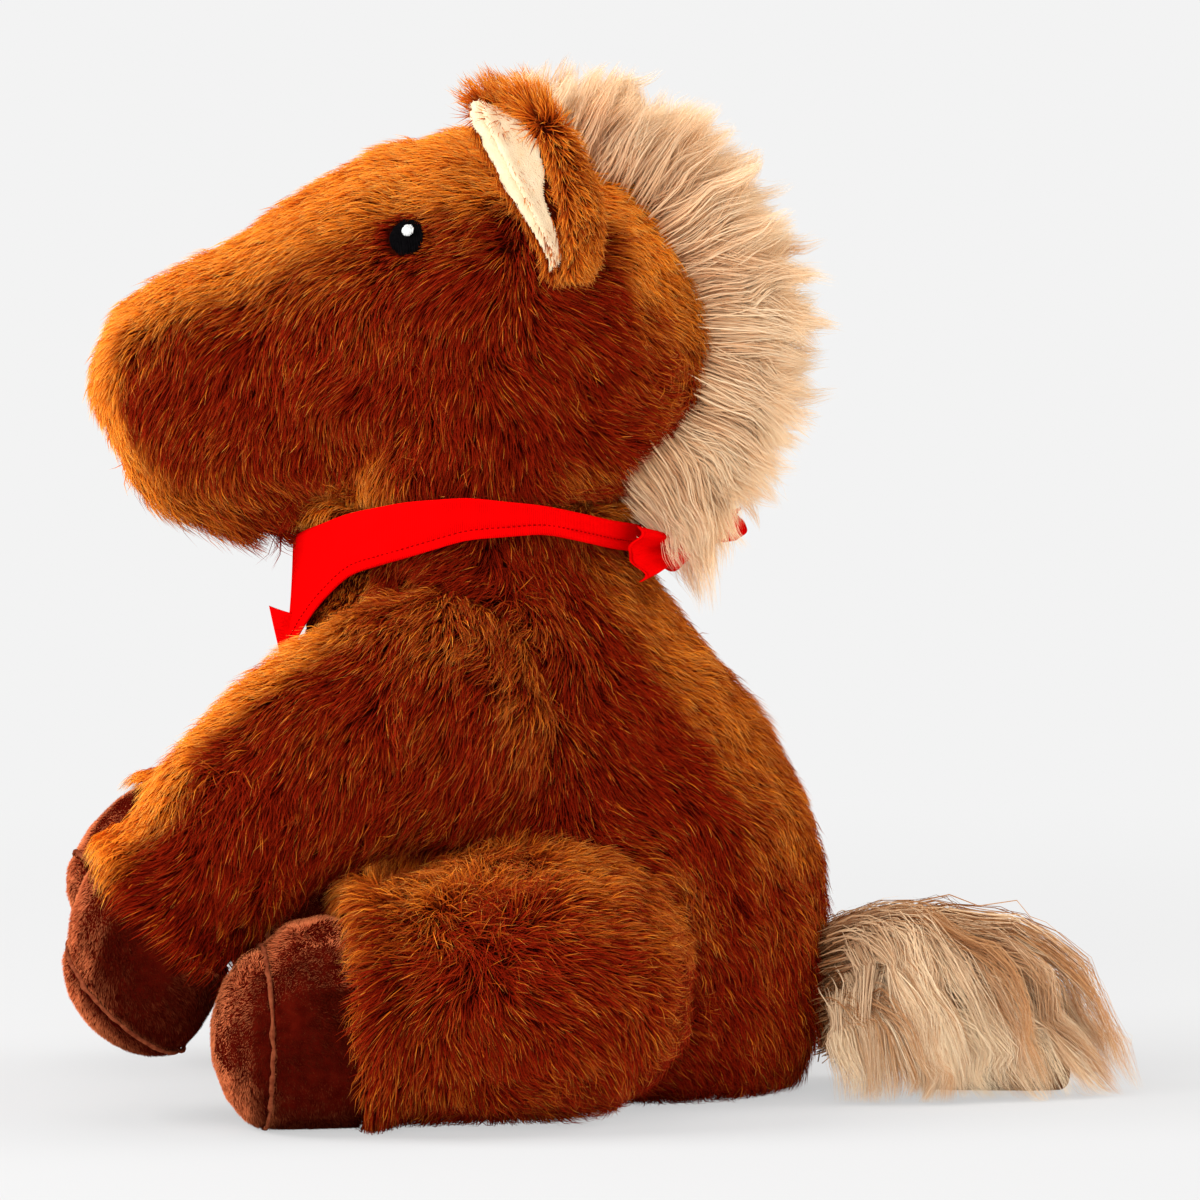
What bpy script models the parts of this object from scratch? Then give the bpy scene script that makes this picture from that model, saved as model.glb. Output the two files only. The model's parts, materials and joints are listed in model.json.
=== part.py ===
"""A seated plush horse: head, torso and legs stuffed in long-pile fabric, velour hooves, blond mane and
tail, embroidered eyes and a knitted bandana. Metres, +Z up, muzzle towards -Y, the horse's left is +X.

The model is laid out from the neck's vertical axis at floor level. The last step moves it so that the
origin is under the middle of its box."""

import functools
import math

import bmesh
import bpy
from mathutils import Vector

X = Vector((1, 0, 0))
Y = Vector((0, 1, 0))
Z = Vector((0, 0, 1))
SIDES = {"left": 1, "right": -1}

# Fabrics and fits
GAP = 0.0003
OVERRUN = 0.02
SEAT_DEPTH = 0.0005
PILE = 0.009
VELOUR = 0.002
CLOTH = 0.003
MOVING_GAP = 0.0006

# Torso, from the floor to the neck seam
TORSO_HEIGHT = 0.157
TORSO_DEPTH = 0.1385
TORSO_WIDTH = 0.098
NECK_RADIUS = 0.043
NECK_LENGTH = 0.012
CHEST_REACH = 0.0438

# Height, front, back and width along the torso: shares of its height, depth (from the chest) and width
TORSO_SHARES = (
    (0.0, 0.35, 0.91, 0.56),
    (0.045, 0.27, 0.965, 0.78),
    (0.13, 0.215, 0.99, 0.94),
    (0.32, 0.135, 1.0, 1.0),
    (0.45, 0.085, 0.985, 0.98),
    (0.575, 0.043, 0.92, 0.94),
    (0.69, 0.014, 0.825, 0.905),
    (0.78, 0.004, 0.744, 0.89),
    (0.85, 0.003, 0.68, 0.88),
)

# Head
HEAD_LENGTH = 0.163
HEAD_HEIGHT = 0.108
HEAD_WIDTH = 0.092
MUZZLE_REACH = 0.099
JAW_DROP = 0.011
HEAD_NECK_HEIGHT = 0.035
HEAD_NECK_TOP_SHARE = 0.86

# Length from the muzzle, bottom, top and width: shares of the head's length, height and width
HEAD_SHARES = (
    (0.0, 0.33, 0.44, 0.13),
    (0.018, 0.26, 0.505, 0.34),
    (0.06, 0.145, 0.598, 0.49),
    (0.14, 0.058, 0.662, 0.58),
    (0.26, 0.008, 0.77, 0.66),
    (0.4, 0.0, 0.912, 0.81),
    (0.54, 0.01, 0.99, 0.94),
    (0.68, 0.04, 1.0, 1.0),
    (0.82, 0.1, 0.935, 0.92),
    (0.92, 0.2, 0.785, 0.7),
    (0.98, 0.31, 0.625, 0.4),
    (1.0, 0.4, 0.53, 0.17),
)

# Forelegs: each swings about a side-to-side axis through the middle of its round root
ROOT_RADIUS = 0.033
ROOT_THICKNESS = 0.021
ROOT_PLANE = 0.0353
ROOT_SET_IN = 0.0113
SHOULDER_FORWARD = 0.0116
SHOULDER_HEIGHTS = {"left": 0.103, "right": 0.1}
SHOULDER_NICHE_DROP = 0.06
FORELEG_LENGTH = 0.108
FORELEG_LENGTH_SHARES = {"left": 1.0, "right": 0.94}
FORELEG_SPREAD = 0.0095
FORELEG_PITCHES_DEG = {"left": (16, 70), "right": (28, 42)}
FORELEG_FULLNESS_SHARES = {"left": 1.0, "right": 0.95}
FOREHOOF_TILTS_DEG = {"left": 24, "right": 5}
FOREHOOF_TURN_IN_DEG = 12
FOREHOOF_TURN_SHARE = 0.45
FOREHOOF_LENGTH = 0.025
FOREHOOF_RADIUS = 0.0235
FORESOLE_BULGE = 0.011

# Along the foreleg: length, height of the section, its width and how far it has spread outwards
FORELEG_SHARES = (
    (0.0, 1.0, 1.0, 0.0),
    (0.16, 0.96, 0.985, 0.16),
    (0.34, 0.88, 0.975, 0.45),
    (0.52, 0.78, 0.97, 0.78),
    (0.66, 0.71, 0.98, 0.97),
    (0.8, 0.68, 1.0, 1.0),
)

# Hind legs: each lies on the floor and splays about a vertical axis through its round hip
HIP_SPACING = 0.058
HIP_BEHIND = 0.0225
HIND_RADIUS = 0.036
HINDLEG_LENGTH = 0.0751
HINDHOOF_LENGTH = 0.0246
HINDHOOF_RADIUS = 0.0274
HINDSOLE_BULGE = 0.0125
SPLAY_DEG = 9
HIP_ROOM = 0.0017

# Along the hind leg and along a hoof: length and radius
HINDLEG_SHARES = ((0.0, 1.0), (0.26, 0.985), (0.47, 0.93), (0.67, 0.85), (0.86, 0.83))
HOOF_SHARES = ((0.0, 0.96), (0.35, 1.0), (0.72, 0.965), (1.0, 0.86))

# A limb's rounded back end and a sole: shares of the radius or bulge along, and of the radius across
END_ANGLES_DEG = (20, 45, 68)
SOLE_SHARES = ((0.0, 0.86), (0.35, 0.78), (0.72, 0.56), (1.0, 0.22))

# The filling between a leg and its hoof: share of the hoof's radius
HOOF_NECK_SHARE = 0.33

# Ears
EAR_HEIGHT = 0.046
EAR_DEPTH = 0.026
EAR_WIDTH = 0.016
EAR_BACK = 0.0036
EAR_LINING = 0.0016
EAR_BEHIND = 0.024
EAR_BASE_SHARE = 0.655
EAR_STAND_OFF = 0.0008
EAR_LEAN = 0.006
EAR_NEAR_BASE_DEG = 92
EAR_NEAR_TOP_DEG = 52
EAR_FAR_DEG = 160

# Up the ear: height, size and how far the section's middle has moved back from the base
EAR_SHARES = (
    (0.0, 0.42, 0.05),
    (0.12, 0.58, 0.08),
    (0.3, 0.8, 0.0),
    (0.5, 0.95, -0.14),
    (0.7, 1.0, -0.3),
    (0.86, 0.95, -0.46),
    (0.96, 0.74, -0.56),
    (1.0, 0.48, -0.6),
)

# Eyes: stitched ovals, with a small stitched highlight
EYE_HALF_LENGTH = 0.0044
EYE_HALF_HEIGHT = 0.0049
EYE_THICKNESS = 0.0016
EYE_SINK = 0.0008
EYE_LENGTH_SHARE = 0.511
EYE_TURN_DEG = 31.7
EYE_STEP_DEG = 1
GLINT_RADIUS = 0.0015
GLINT_THICKNESS = 0.0006
GLINT_UP = 0.0011
GLINT_BACK = 0.0008

# A stitched oval's rounded face: shares of its thickness and of its width
OVAL_SHARES = ((0.0, 1.0), (0.6, 1.0), (1.0, 0.8))

# Mane: a strip down the back of the head, and the pile that stands on it
MANE_CENTRE_BEHIND = 0.022
MANE_CENTRE_HEIGHT_SHARE = 0.5
MANE_RADIUS = 0.0525
MANE_HALF_PILE = 0.0135
MANE_WIDTH = 0.034
MANE_STRIP_WIDTH = 0.02
MANE_STRIP = 0.0015
MANE_STRIP_START_SHARE = 0.5
MANE_FROM_DEG = 100
MANE_TO_DEG = -58
MANE_CLEAR_RADIUS = 0.061
MANE_CLEAR_DROP = 0.003

# Along the mane: share of its sweep and of its thickness
MANE_SHARES = ((0.0, 0.35), (0.06, 0.7), (0.16, 0.95), (0.35, 1.0), (0.6, 1.0), (0.85, 0.9), (1.0, 0.5))
MANE_STRIP_SHARES = (0.06, 0.2, 0.35, 0.5, 0.65, 0.8, 0.94)

# Tail: it lies on the floor and swings about a vertical axis behind the rump
TAIL_LENGTH = 0.0785
TAIL_WIDTH = 0.06
TAIL_HEIGHT = 0.0495
TAIL_ROOT_RADIUS = 0.007
TAIL_STRIP_LENGTH = 0.03
TAIL_STRIP_WIDTH = 0.01
TAIL_STRIP_HEIGHT = 0.02
TAIL_STRIP_AT_SHARE = 0.66
TAIL_STRIP_TIP_SHARE = 0.5

# Along the tail: length, underside, top and width
TAIL_SHARES = (
    (0.0, 0.42, 0.88, 0.1),
    (0.03, 0.3, 0.96, 0.2),
    (0.09, 0.12, 1.0, 0.36),
    (0.18, 0.0, 1.0, 0.55),
    (0.35, 0.0, 0.96, 0.84),
    (0.55, 0.0, 0.88, 1.0),
    (0.72, 0.0, 0.82, 0.97),
    (0.86, 0.0, 0.68, 0.78),
    (0.95, 0.0, 0.48, 0.48),
    (1.0, 0.03, 0.3, 0.2),
)

# Bandana: a band round the neck that drops to a point on the chest, knotted at the back
BIB_DROP = 0.041
BIB_FLARE = 0.002
BIB_HALFWAY_SHARE = 0.25
KNOT_HALF_WIDTH = 0.009
KNOT_HALF_HEIGHT = 0.007
KNOT_HALF_DEPTH = 0.0055
KNOT_DROP = 0.012
KNOT_END_THICKNESS = 0.003
KNOT_END_HEIGHT = 0.0125
KNOT_LEFT_REACH = 0.031
KNOT_RIGHT_REACH = 0.021
KNOT_RIGHT_BACK = 0.019
KNOT_RIGHT_RISE = 0.0005
KNOT_ANGLES_DEG = (-75, -50, -20, 20, 50, 75)

# Along each free end: share of its reach and of its height
KNOT_LEFT_SHARES = ((0.0, 0.45), (0.35, 0.7), (0.7, 0.9), (1.0, 1.0))
KNOT_RIGHT_SHARES = ((0.0, 0.45), (0.5, 0.6), (1.0, 0.8))

# Half a turn from the front: share of it, then the band's top and bottom as shares of the drop
BAND_SHARES = (
    (0.0, -0.26, -1.0),
    (0.08, -0.22, -0.88),
    (0.17, -0.15, -0.66),
    (0.27, -0.05, -0.44),
    (0.39, 0.035, -0.32),
    (0.5, 0.066, -0.2),
    (0.64, 0.01, -0.17),
    (0.8, -0.11, -0.29),
    (1.0, -0.2, -0.38),
)

RING_POINTS = 18
LIMB_POINTS = 14
BAND_POINTS = 30
EAR_POINTS = 8
CUT_POINTS = 28
TORSO_RINGS = 11
HEAD_RINGS = 13
NECK_TOP = TORSO_HEIGHT
HEAD_BASE = NECK_TOP - JAW_DROP

COLOURS = {
    "fur": ((0.23, 0.075, 0.02), 0.85),
    "blond": ((0.72, 0.47, 0.26), 0.8),
    "hoof": ((0.09, 0.03, 0.015), 0.8),
    "cream": ((0.9, 0.76, 0.58), 0.85),
    "stuffing": ((0.85, 0.85, 0.83), 0.95),
    "thread": ((0.012, 0.01, 0.01), 0.4),
    "glint": ((0.85, 0.85, 0.85), 0.5),
    "knit": ((0.8, 0.012, 0.015), 0.8),
    "woven": ((0.3, 0.2, 0.12), 0.9),
}


def clear_scene():
    for thing in list(bpy.data.objects):
        bpy.data.objects.remove(thing, do_unlink=True)


def make_materials():
    made = {}
    for name, (colour, roughness) in COLOURS.items():
        material = bpy.data.materials.new(name)
        material.use_nodes = True
        shader = material.node_tree.nodes["Principled BSDF"]
        shader.inputs["Base Color"].default_value = (*colour, 1)
        shader.inputs["Roughness"].default_value = roughness
        shader.inputs["Metallic"].default_value = 0
        made[name] = material
    return made


def curve(t, a, b, c, d):
    """A value between b and c, t of the way, on the smooth curve that passes through all four."""
    slope = (c - a) / 2
    bend = (2 * a - 5 * b + 4 * c - d) / 2
    return b + t * (slope + t * (bend + t * (3 * b - a - 3 * c + d) / 2))


def smooth_rows(rows, count):
    """Rows of numbers on a smooth curve through the given rows, evenly spread between the first and last."""
    found = []
    spans = len(rows) - 1
    for k in range(count):
        at = k * spans / (count - 1)
        span = min(int(at), spans - 1)
        t = at - span
        before = rows[max(span - 1, 0)]
        start = rows[span]
        end = rows[span + 1]
        after = rows[min(span + 2, spans)]
        found.append(tuple(curve(t, *four) for four in zip(before, start, end, after)))
    return found


def rows_until(rows, end):
    """The rows whose first number is below end, and one at end, between its neighbours or as the last row."""
    kept = [row for row in rows if row[0] < end]
    last = kept[-1]
    if len(kept) == len(rows):
        return kept + [(end, *last[1:])]
    following = rows[len(kept)]
    t = (end - last[0]) / (following[0] - last[0])
    return kept + [(end, *(a + t * (b - a) for a, b in zip(last[1:], following[1:])))]


def ring(centre, across, up, half_across, half_up, count):
    """Points of an ellipse round centre, in the plane of the unit vectors across and up."""
    turns = (2 * math.pi * k / count for k in range(count))
    return [centre + across * half_across * math.cos(t) + up * half_up * math.sin(t) for t in turns]


def add_object(name, mesh, material):
    bmesh.ops.recalc_face_normals(mesh, faces=mesh.faces)
    data = bpy.data.meshes.new(name)
    mesh.to_mesh(data)
    mesh.free()
    thing = bpy.data.objects.new(name, data)
    bpy.context.scene.collection.objects.link(thing)
    if material:
        data.materials.append(material)
        data.shade_smooth()
    else:
        thing.hide_render = True
        thing.display_type = "WIRE"
    return thing


def loft(name, rings, material=None, closed=False):
    """A skin over rings of equal point counts: capped at both ends, or closed into a loop."""
    mesh = bmesh.new()
    rows = [[mesh.verts.new(point) for point in points] for points in rings]
    pairs = list(zip(rows, rows[1:]))
    if closed:
        pairs.append((rows[-1], rows[0]))
    else:
        mesh.faces.new(rows[0])
        mesh.faces.new(rows[-1])
    for row, following in pairs:
        for k in range(len(row)):
            mesh.faces.new((row[k - 1], row[k], following[k], following[k - 1]))
    return add_object(name, mesh, material)


def turned(name, profile, centre, axis, across, count):
    """A cutter: a solid turned round an axis from (radius, height) points whose ends lie on the axis."""
    aside = axis.cross(across)
    mesh = bmesh.new()
    tips = [mesh.verts.new(centre + axis * profile[end][1]) for end in (0, -1)]
    rows = []
    for radius, height in profile[1:-1]:
        middle = centre + axis * height
        rows.append([mesh.verts.new(point) for point in ring(middle, across, aside, radius, radius, count)])
    for k in range(count):
        mesh.faces.new((tips[0], rows[0][k - 1], rows[0][k]))
        mesh.faces.new((tips[1], rows[-1][k], rows[-1][k - 1]))
        for row, following in zip(rows, rows[1:]):
            mesh.faces.new((row[k - 1], row[k], following[k], following[k - 1]))
    return add_object(name, mesh, None)


def block(name, low, high):
    """A cutter: a box between two corners."""
    rings = []
    for z in (low[2], high[2]):
        rings.append(
            [
                Vector((low[0], low[1], z)),
                Vector((high[0], low[1], z)),
                Vector((high[0], high[1], z)),
                Vector((low[0], high[1], z)),
            ]
        )
    return loft(name, rings)


def boolean(target, tools, operation="DIFFERENCE"):
    for tool in tools:
        modifier = target.modifiers.new(tool.name, "BOOLEAN")
        modifier.operation = operation
        modifier.object = tool
    return target


def grown_rows(rows, grow, end_grow):
    """Rows of length, middle and two half sizes, with the halves larger by grow and the ends further out."""
    grown = [[length, middle, first + grow, second + grow] for length, middle, first, second in rows]
    grown[0][0] -= end_grow
    grown[-1][0] += end_grow
    return grown


def torso_sections():
    """Height, middle, half depth and half width of the torso's sections, up to the neck seam."""
    sections = []
    for height, front, back, width in TORSO_SHARES:
        near = front * TORSO_DEPTH - CHEST_REACH
        far = back * TORSO_DEPTH - CHEST_REACH
        sections.append((height * TORSO_HEIGHT, (near + far) / 2, (far - near) / 2, width * TORSO_WIDTH / 2))
    sections.append((NECK_TOP - NECK_LENGTH, 0, NECK_RADIUS, NECK_RADIUS))
    rows = smooth_rows(sections, TORSO_RINGS)
    rows[0] = (-SEAT_DEPTH, *rows[0][1:])
    rows.append((NECK_TOP, 0, NECK_RADIUS, NECK_RADIUS))
    return rows


def torso_form(name, inset, open_neck, material=None):
    """The torso's outer form, or one inset from it. An open neck runs on past the neck seam."""
    rows = grown_rows(torso_sections(), -inset, 0)
    height, middle, depth, width = rows[-1]
    rows[-1] = (NECK_TOP + OVERRUN if open_neck else NECK_TOP, middle, depth, width)
    rings = [ring(Vector((0, y, z)), X, Y, width, depth, RING_POINTS) for z, y, depth, width in rows]
    return loft(name, rings, material)


def head_sections():
    """Place along Y, middle height, half height and half width of the head's sections."""
    sections = []
    for length, bottom, top, width in HEAD_SHARES:
        y = length * HEAD_LENGTH - MUZZLE_REACH
        middle = HEAD_BASE + (bottom + top) / 2 * HEAD_HEIGHT
        sections.append((y, middle, (top - bottom) / 2 * HEAD_HEIGHT, width * HEAD_WIDTH / 2))
    return smooth_rows(sections, HEAD_RINGS)


def head_form(name, inset, material=None):
    """The head's outer form, or one inset from it or outside it."""
    rows = head_sections()
    end_grow = -inset
    if inset > 0:
        first = rows[0][0] + inset
        last = rows[-1][0] - inset
        between = [row for row in rows if first < row[0] < last]
        rows = [head_section_at(first), *between, head_section_at(last)]
        end_grow = 0
    rows = grown_rows(rows, -inset, end_grow)
    rings = [ring(Vector((0, y, z)), X, Z, width, height, RING_POINTS) for y, z, height, width in rows]
    return loft(name, rings, material)


def head_neck_form(name, inset, bottom):
    """The round stump under the head, which meets the torso's neck."""
    top = NECK_TOP + HEAD_NECK_HEIGHT - inset
    base = NECK_RADIUS - inset if inset else NECK_RADIUS + GAP
    rows = ((bottom, base), (NECK_TOP + HEAD_NECK_HEIGHT / 2, base), (top, base * HEAD_NECK_TOP_SHARE))
    rings = [ring(Vector((0, 0, z)), X, Y, radius, radius, CUT_POINTS) for z, radius in rows]
    return loft(name, rings)


def head_section_at(y):
    rows = head_sections()
    for before, after in zip(rows, rows[1:]):
        if before[0] <= y <= after[0]:
            t = (y - before[0]) / (after[0] - before[0])
            return [a + t * (b - a) for a, b in zip(before, after)]
    return rows[-1]


def head_surface(y, turn, side):
    """The point of the head's skin at a place along Y, turned up from the side by an angle."""
    _, middle, height, width = head_section_at(y)
    return Vector((side * width * math.cos(turn), y, middle + height * math.sin(turn)))


def band_rows():
    """Angle from the front, top and bottom of the band, all the way round."""
    half = []
    for share, top, bottom in smooth_rows(BAND_SHARES, BAND_POINTS // 2 + 1):
        half.append((math.pi * share, NECK_TOP + top * BIB_DROP, NECK_TOP + bottom * BIB_DROP))
    return half + [(-angle, top, bottom) for angle, top, bottom in half[-2:0:-1]]


def band_form(name, grow, material=None):
    """The cloth round the neck. Its point stands away from the chest a little."""
    rings = []
    for angle, top, bottom in band_rows():
        outwards = Vector((math.sin(angle), -math.cos(angle), 0))
        inner = NECK_RADIUS + MOVING_GAP - grow
        outer = NECK_RADIUS + MOVING_GAP + CLOTH + grow
        drop = max(0, (NECK_TOP - bottom) / BIB_DROP)
        flare = BIB_FLARE * drop * drop
        halfway = flare * BIB_HALFWAY_SHARE
        middle = (top + bottom) / 2
        rings.append(
            [
                outwards * inner + Z * (top + grow),
                outwards * outer + Z * (top + grow),
                outwards * (outer + halfway) + Z * middle,
                outwards * (outer + flare) + Z * (bottom - grow),
                outwards * (inner + flare) + Z * (bottom - grow),
                outwards * (inner + halfway) + Z * middle,
            ]
        )
    return loft(name, rings, material, closed=True)


def foreleg_length(side_name):
    """From the middle of the root to the hoof's sole. One leg is pressed a little further into its seam."""
    return FORELEG_LENGTH * FORELEG_LENGTH_SHARES[side_name]


def foreleg_pitch(side_name, along):
    """How far the foreleg's middle line points down at a place along it. It bends evenly."""
    first, last = (math.radians(angle) for angle in FORELEG_PITCHES_DEG[side_name])
    return first + (last - first) * max(along, 0) / foreleg_length(side_name)


def foreleg_path(side_name, along):
    """A point on the foreleg's middle line, in the plane of its swing."""
    point = Vector((0, -SHOULDER_FORWARD, SHOULDER_HEIGHTS[side_name]))
    first = foreleg_pitch(side_name, 0)
    if along < 0:
        return point - Vector((0, -math.cos(first), -math.sin(first))) * -along
    pitch = foreleg_pitch(side_name, along)
    length = foreleg_length(side_name)
    bend = (foreleg_pitch(side_name, length) - first) / length
    run = (math.sin(pitch) - math.sin(first)) / bend
    fall = (math.cos(first) - math.cos(pitch)) / bend
    return point + Vector((0, -run, -fall))


def foreleg_sections(side_name, inset, end):
    """Place along the leg, half height, half width and spread of its sections, from the back of the root."""
    fullness = FORELEG_FULLNESS_SHARES[side_name]
    radius = ROOT_RADIUS * fullness - inset
    full_length = foreleg_length(side_name)
    sections = []
    for angle in END_ANGLES_DEG:
        turn = math.radians(angle)
        width = (ROOT_THICKNESS - inset) * math.sin(turn)
        sections.append((-radius * math.cos(turn), radius * math.sin(turn), width, 0))
    rows = smooth_rows(FORELEG_SHARES, len(FORELEG_SHARES) + 3)
    for length, height, width, spread in rows_until(rows, end / full_length):
        half = height * ROOT_RADIUS * fullness - inset
        half_width = width * ROOT_THICKNESS - inset
        sections.append((length * full_length, half, half_width, spread * FORELEG_SPREAD))
    return sections


def foreleg_frame(side_name, along, spread):
    """The middle of a foreleg's section, and its directions across, up and forward.

    Towards the hoof the sections turn inwards, and tilt so that the hoof is shorter on top."""
    side = SIDES[side_name]
    length = foreleg_length(side_name)
    on_leg = min(along, length)
    turned_share = max(on_leg / length - FOREHOOF_TURN_SHARE, 0) / (1 - FOREHOOF_TURN_SHARE)
    pitch = foreleg_pitch(side_name, on_leg) - math.radians(FOREHOOF_TILTS_DEG[side_name]) * turned_share
    turn_in = math.radians(FOREHOOF_TURN_IN_DEG) * turned_share
    up = Vector((0, -math.sin(pitch), math.cos(pitch)))
    ahead = Vector((0, -math.cos(pitch), -math.sin(pitch)))
    forward = ahead * math.cos(turn_in) - X * side * math.sin(turn_in)
    aside = side * (ROOT_PLANE + ROOT_THICKNESS - ROOT_SET_IN + spread)
    centre = foreleg_path(side_name, on_leg) + X * aside + forward * (along - on_leg)
    return centre, up.cross(forward), up


def foreleg_form(name, side_name, inset, end, material=None):
    side = SIDES[side_name]
    rings = []
    for along, height, width, spread in foreleg_sections(side_name, inset, end):
        rings.append(ring(*foreleg_frame(side_name, along, spread), width, height, LIMB_POINTS))
    form = loft(name, rings, material)
    return boolean(form, [root_trim(name + "_trim", side, inset)])


def root_trim(name, side, inset):
    """Cuts a foreleg flat where it is sewn to the torso's side."""
    reach = ROOT_PLANE + inset
    low = min(side * reach, -side * OVERRUN)
    high = max(side * reach, -side * OVERRUN)
    back = 2 * ROOT_RADIUS
    bottom = (low, -SHOULDER_FORWARD - FORELEG_LENGTH - back, -OVERRUN)
    return block(name, bottom, (high, back, NECK_TOP + OVERRUN))


def foreleg_space(side_name, grow):
    """The room in the torso that a foreleg's flat root and its swing take up."""
    side = SIDES[side_name]
    inner = ROOT_PLANE - MOVING_GAP - grow
    outer = ROOT_PLANE + TORSO_WIDTH
    radius = ROOT_RADIUS + MOVING_GAP + grow
    centre = Vector((0, -SHOULDER_FORWARD, SHOULDER_HEIGHTS[side_name]))
    profile = ((0, inner), (radius, inner), (radius, outer), (0, outer))
    disc = turned(f"{side_name}_shoulder_space_{grow:.4f}", profile, centre, X * side, Z, CUT_POINTS)
    across = sorted((side * inner, side * outer))
    low = (across[0], centre.y - 2 * ROOT_RADIUS, centre.z - SHOULDER_NICHE_DROP - grow)
    high = (across[1], centre.y, centre.z + radius + NECK_LENGTH / 2)
    front = block(f"{side_name}_swing_space_{grow:.4f}", low, high)
    return [disc, front]


def hindleg_direction(side):
    splay = math.radians(SPLAY_DEG)
    return Vector((side * math.sin(splay), -math.cos(splay), 0))


def hip_point(side):
    return Vector((side * HIP_SPACING, HIP_BEHIND, 0))


def lying_ring(side, along, radius, base_radius):
    """A section across a hind leg that lies on the floor, where its full radius there is base_radius."""
    forward = hindleg_direction(side)
    centre = hip_point(side) + forward * along + Z * (base_radius - SEAT_DEPTH)
    return ring(centre, forward.cross(Z), Z, radius, radius, LIMB_POINTS)


def hindleg_form(name, side, inset, end, material=None):
    rings = []
    for angle in END_ANGLES_DEG:
        turn = math.radians(angle)
        radius = HIND_RADIUS - inset
        rings.append(lying_ring(side, -radius * math.cos(turn), radius * math.sin(turn), HIND_RADIUS))
    rows = smooth_rows(HINDLEG_SHARES, len(HINDLEG_SHARES) + 2)
    for length, share in rows_until(rows, end / HINDLEG_LENGTH):
        radius = share * HIND_RADIUS
        rings.append(lying_ring(side, length * HINDLEG_LENGTH, radius - inset, radius))
    return loft(name, rings, material)


def hoof_rings(place, start, length, radius, inset):
    """Sections of a hoof. place gives a ring for a place along the leg, a radius and the full radius."""
    rings = []
    for share, size in HOOF_SHARES:
        rings.append(place(start + share * length, size * radius - inset, size * radius))
    return rings


def sole_rings(place, start, radius, bulge):
    full = SOLE_SHARES[0][1] * radius
    return [place(start + share * bulge, size * radius, full) for share, size in SOLE_SHARES]


def floor_block(name, depth=0):
    """Everything below the floor, or below a depth above it."""
    reach = TORSO_HEIGHT + TORSO_DEPTH + FORELEG_LENGTH
    return block(name, (-reach, -reach, -OVERRUN), (reach, reach, depth))


def build_torso(materials):
    """Skin and stuffing of the torso, with room for the legs, the bandana and the neck opening."""
    trims = {}
    for grow in (0, PILE, PILE + GAP):
        tools = [floor_block(f"floor_{grow:.4f}", grow)]
        for name, side in SIDES.items():
            tools += foreleg_space(name, grow)
            room = HIP_ROOM + grow
            tools.append(hindleg_form(f"{name}_hip_space_{grow:.4f}", side, -room, HINDLEG_LENGTH))
        trims[grow] = tools
    core = boolean(torso_form("torso_core", PILE, True), trims[PILE])
    skin = torso_form("torso_skin", 0, False, materials["fur"])
    boolean(skin, [core, *trims[0], band_form("band_space", GAP)])
    stuffing = torso_form("torso_stuffing", PILE + GAP, False, materials["stuffing"])
    boolean(stuffing, trims[PILE + GAP])
    return [skin, stuffing]


def neck_cutter(name, grow):
    """Frees the head from the torso's neck and from the band round it, at every turn of the head."""
    lip = NECK_TOP + max(row[1] for row in BAND_SHARES) * BIB_DROP + 2 * MOVING_GAP + grow
    outer = NECK_RADIUS + CLOTH + 3 * MOVING_GAP + grow
    inner = NECK_RADIUS - grow - (VELOUR if grow else 0)
    seam = NECK_TOP + GAP + grow
    profile = ((0, -OVERRUN), (outer, -OVERRUN), (outer, lip), (inner, lip), (inner, seam), (0, seam))
    return turned(name, profile, Vector((0, 0, 0)), Z, X, CUT_POINTS)


def build_head(materials):
    """Skin and stuffing of the head, open to each other at the neck seam."""
    stump = NECK_TOP - OVERRUN
    skin = head_form("head_skin", 0, materials["fur"])
    boolean(skin, [eye_room(name) for name in SIDES])
    boolean(skin, [head_neck_form("head_neck", 0, stump)], "UNION")
    core = boolean(head_form("head_core", PILE), [neck_cutter("core_neck_cutter", PILE)])
    boolean(core, [head_neck_form("head_neck_core", PILE, stump)], "UNION")
    boolean(skin, [neck_cutter("neck_cutter", 0), core])
    inset = PILE + GAP
    stuffing = head_form("head_stuffing", inset, materials["stuffing"])
    boolean(stuffing, [neck_cutter("fill_neck_cutter", inset)])
    boolean(stuffing, [head_neck_form("head_neck_fill", inset, stump)], "UNION")
    low = (-HEAD_LENGTH, -HEAD_LENGTH, -OVERRUN)
    boolean(stuffing, [block("below_neck", low, (HEAD_LENGTH, HEAD_LENGTH, NECK_TOP + GAP))])
    return skin, stuffing


def forehoof_ring(side_name, along, radius, _):
    """A section of a forehoof, which runs on inwards from the fur's end."""
    start = foreleg_length(side_name) - FOREHOOF_LENGTH
    run_on = min(max(along - start, 0), FOREHOOF_LENGTH)
    spread = FORELEG_SPREAD - run_on * math.sin(math.radians(FOREHOOF_TURN_IN_DEG))
    return ring(*foreleg_frame(side_name, along, spread), radius, radius, LIMB_POINTS)


def build_foreleg(side_name, materials):
    length = foreleg_length(side_name)
    fur_end = length - FOREHOOF_LENGTH
    hoof_start = fur_end + GAP
    place = functools.partial(forehoof_ring, side_name)
    skin = foreleg_form(f"{side_name}_foreleg_skin", side_name, 0, fur_end, materials["fur"])
    boolean(skin, [foreleg_form(f"{side_name}_foreleg_core", side_name, PILE, fur_end + OVERRUN)])
    hoof = build_hoof(
        f"{side_name}_fore",
        place,
        hoof_start,
        length,
        FOREHOOF_RADIUS,
        FORESOLE_BULGE,
        materials["hoof"],
    )
    stuffing = foreleg_form(
        f"{side_name}_foreleg_stuffing", side_name, PILE + GAP, fur_end - GAP, materials["stuffing"]
    )
    fill_hoof(stuffing, place, fur_end, length, FOREHOOF_RADIUS)
    return [skin, *hoof, stuffing]


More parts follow.
